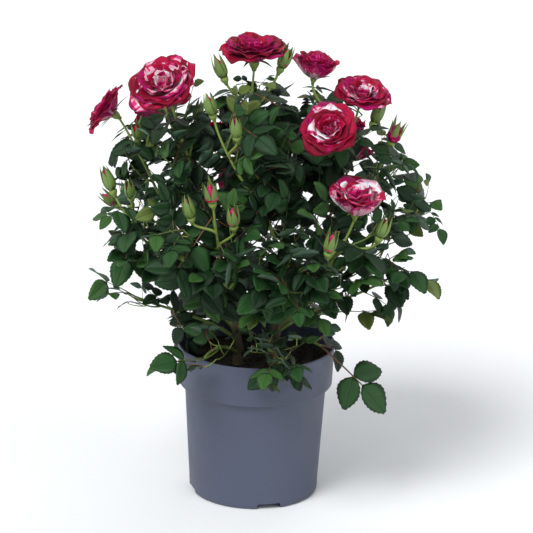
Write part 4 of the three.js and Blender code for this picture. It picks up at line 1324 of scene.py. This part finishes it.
def make_pot():
    """The pot: a turned shell, faintly out of round, with drainage channels cut across its underside."""
    points, faces = lathe(pot_profile(), POT.sides)
    angle = np.arctan2(points[:, 1], points[:, 0])
    body = (np.hypot(points[:, 0], points[:, 1]) > POT.base - 4) & (points[:, 2] > POT.base_rounding)
    shape = ripple(SEED, 1.0, 2 * np.cos(angle), 2 * np.sin(angle), points[:, 2] / 60)
    points[:, :2] *= (1 - 0.0035 * (1 + shape) * body)[:, None]
    plastic = grained_material("pot_plastic", (0.062, 0.074, 0.118), 0.5, ((900, 3), 0.08, 0.5),
                               ((35, 5), 0.4, 0.6), ((9, 6), POT_BLOTCHES))
    bunch = Bunch()
    bunch.add(points, faces)
    pot = bunch.piece("nursery_pot", [plastic], "pot_plastic", ["pot"])
    tool = channel_cutter()
    cut = pot.modifiers.new("channels", "BOOLEAN")
    cut.operation, cut.object, cut.solver = "DIFFERENCE", tool, "EXACT"
    shaped = bpy.data.meshes.new_from_object(pot.evaluated_get(bpy.context.evaluated_depsgraph_get()))
    pot.modifiers.clear()
    pot.data = shaped
    bpy.data.objects.remove(tool)
    shaped.set_sharp_from_angle(angle=math.radians(32))


def make_soil():
    """The peat: a disc with a crumbly top, and crumbs of many sizes on it."""
    rng = np.random.default_rng(SEED + 1)
    edge = pot_inner(SOIL_TOP) - SOIL.play
    low, top = POT.floor + 1, SOIL_TOP - SOIL.sunk
    side = [(pot_inner(z) - SOIL.play, z) for z in (low, POT.collar_at - POT.step, POT.collar_at)]
    rings = [(edge * share, top) for share in np.linspace(1, 0.02, 34)]
    points, faces = lathe([(0, low), *side, *rings, (0, top)], 96)
    x, y, z = points.T
    lumps = ripple(SEED, 7, x, y) + 0.7 * ripple(SEED + 2, 2.2, x, y)
    z += np.where(z > top - 0.1, 0.55 * lumps + rng.uniform(-0.3, 0.3, len(points)), 0)
    points[:, 2] = np.minimum(z, SOIL_TOP)
    bunch = Bunch()
    bunch.add(points, faces)
    for _ in range(SOIL.crumbs):
        size = 0.5 + 1.5 * rng.uniform() ** 3
        radius = (edge - 2.5) * math.sqrt(rng.uniform())
        lump, faces = lathe(CRUMB, 6)
        lump = lump * size * rng.uniform(0.6, 1.3, 3) + rng.normal(0, 0.12 * size, lump.shape)
        place = polar(rng.uniform(0, 360), radius, SOIL_TOP - 1.1)
        bunch.add(turned(lump, rng.uniform(0, 360)) @ basis_along(rng.normal(size=3)) + place, faces)
    peat = grained_material("peat", (0.02, 0.013, 0.009), 0.95, ((700, 8), 1.2, 1),
                            blotches=((260, 8), PEAT_BLOTCHES))
    bunch.piece("peat_surface", [peat], "soil", ["soil"])


# The stage

def make_camera():
    camera = show("camera", bpy.data.cameras.new("camera"))
    camera.data.sensor_width = CAMERA.sensor
    camera.data.lens = CAMERA.sensor * CAMERA.distance / CAMERA.view
    rise, roll = math.radians(CAMERA.rise), math.radians(CAMERA.lean)
    back = Matrix.Rotation(-rise, 3, "X") @ Vector((0, -1, 0))
    camera.location = (cad_box[0] + cad_box[1]) / 2 + back * CAMERA.distance * MM
    turn = Matrix.Rotation(math.pi / 2 - rise, 4, "X") @ Matrix.Rotation(roll, 4, "Z")
    camera.rotation_euler = turn.to_euler()
    bpy.context.scene.camera = camera


def make_floor(half=12):
    mesh = bpy.data.meshes.new("floor")
    corners = [(x * half, y * half, 0) for x, y in ((-1, -1), (1, -1), (1, 1), (-1, 1))]
    mesh.from_pydata(corners, [], [(0, 1, 2, 3)])
    mesh.materials.append(Skin("floor", (0.86, 0.87, 0.88), 0.9).made)
    floor = show("floor", mesh)


def make_light(name, kind, energy, size, place, target=(0, 0, 0.2)):
    """A light. size is the side of an area light in metres, and the angle of the sun in radians."""
    data = bpy.data.lights.new(name, kind)
    data.energy = energy
    if kind == "SUN":
        data.angle = size
    else:
        data.size = size
    light = show(name, data)
    light.location = place
    way = Vector([end - start for start, end in zip(place, target)])
    light.rotation_euler = way.to_track_quat("-Z", "Y").to_euler()


def make_stage():
    make_floor()
    make_light("key", "SUN", 2.5, 0.5, (-1.1, -1.6, 2.4))
    make_light("fill", "AREA", 9, 1.6, (1.7, -1.3, 1.1))
    make_light("rim", "AREA", 8, 1.2, (0.6, 1.6, 1.7))
    world = bpy.data.worlds.new("studio")
    world.use_nodes = True
    background = world.node_tree.nodes["Background"]
    background.inputs["Color"].default_value = (0.95, 0.97, 1, 1)
    background.inputs["Strength"].default_value = 0.55
    bpy.context.scene.world = world
    bpy.context.scene.view_settings.view_transform = "Standard"


make_camera()
make_stage()
make_pot()
make_soil()
every_shoot = all_shoots()
make_limbs(every_shoot)
make_masses(every_shoot)
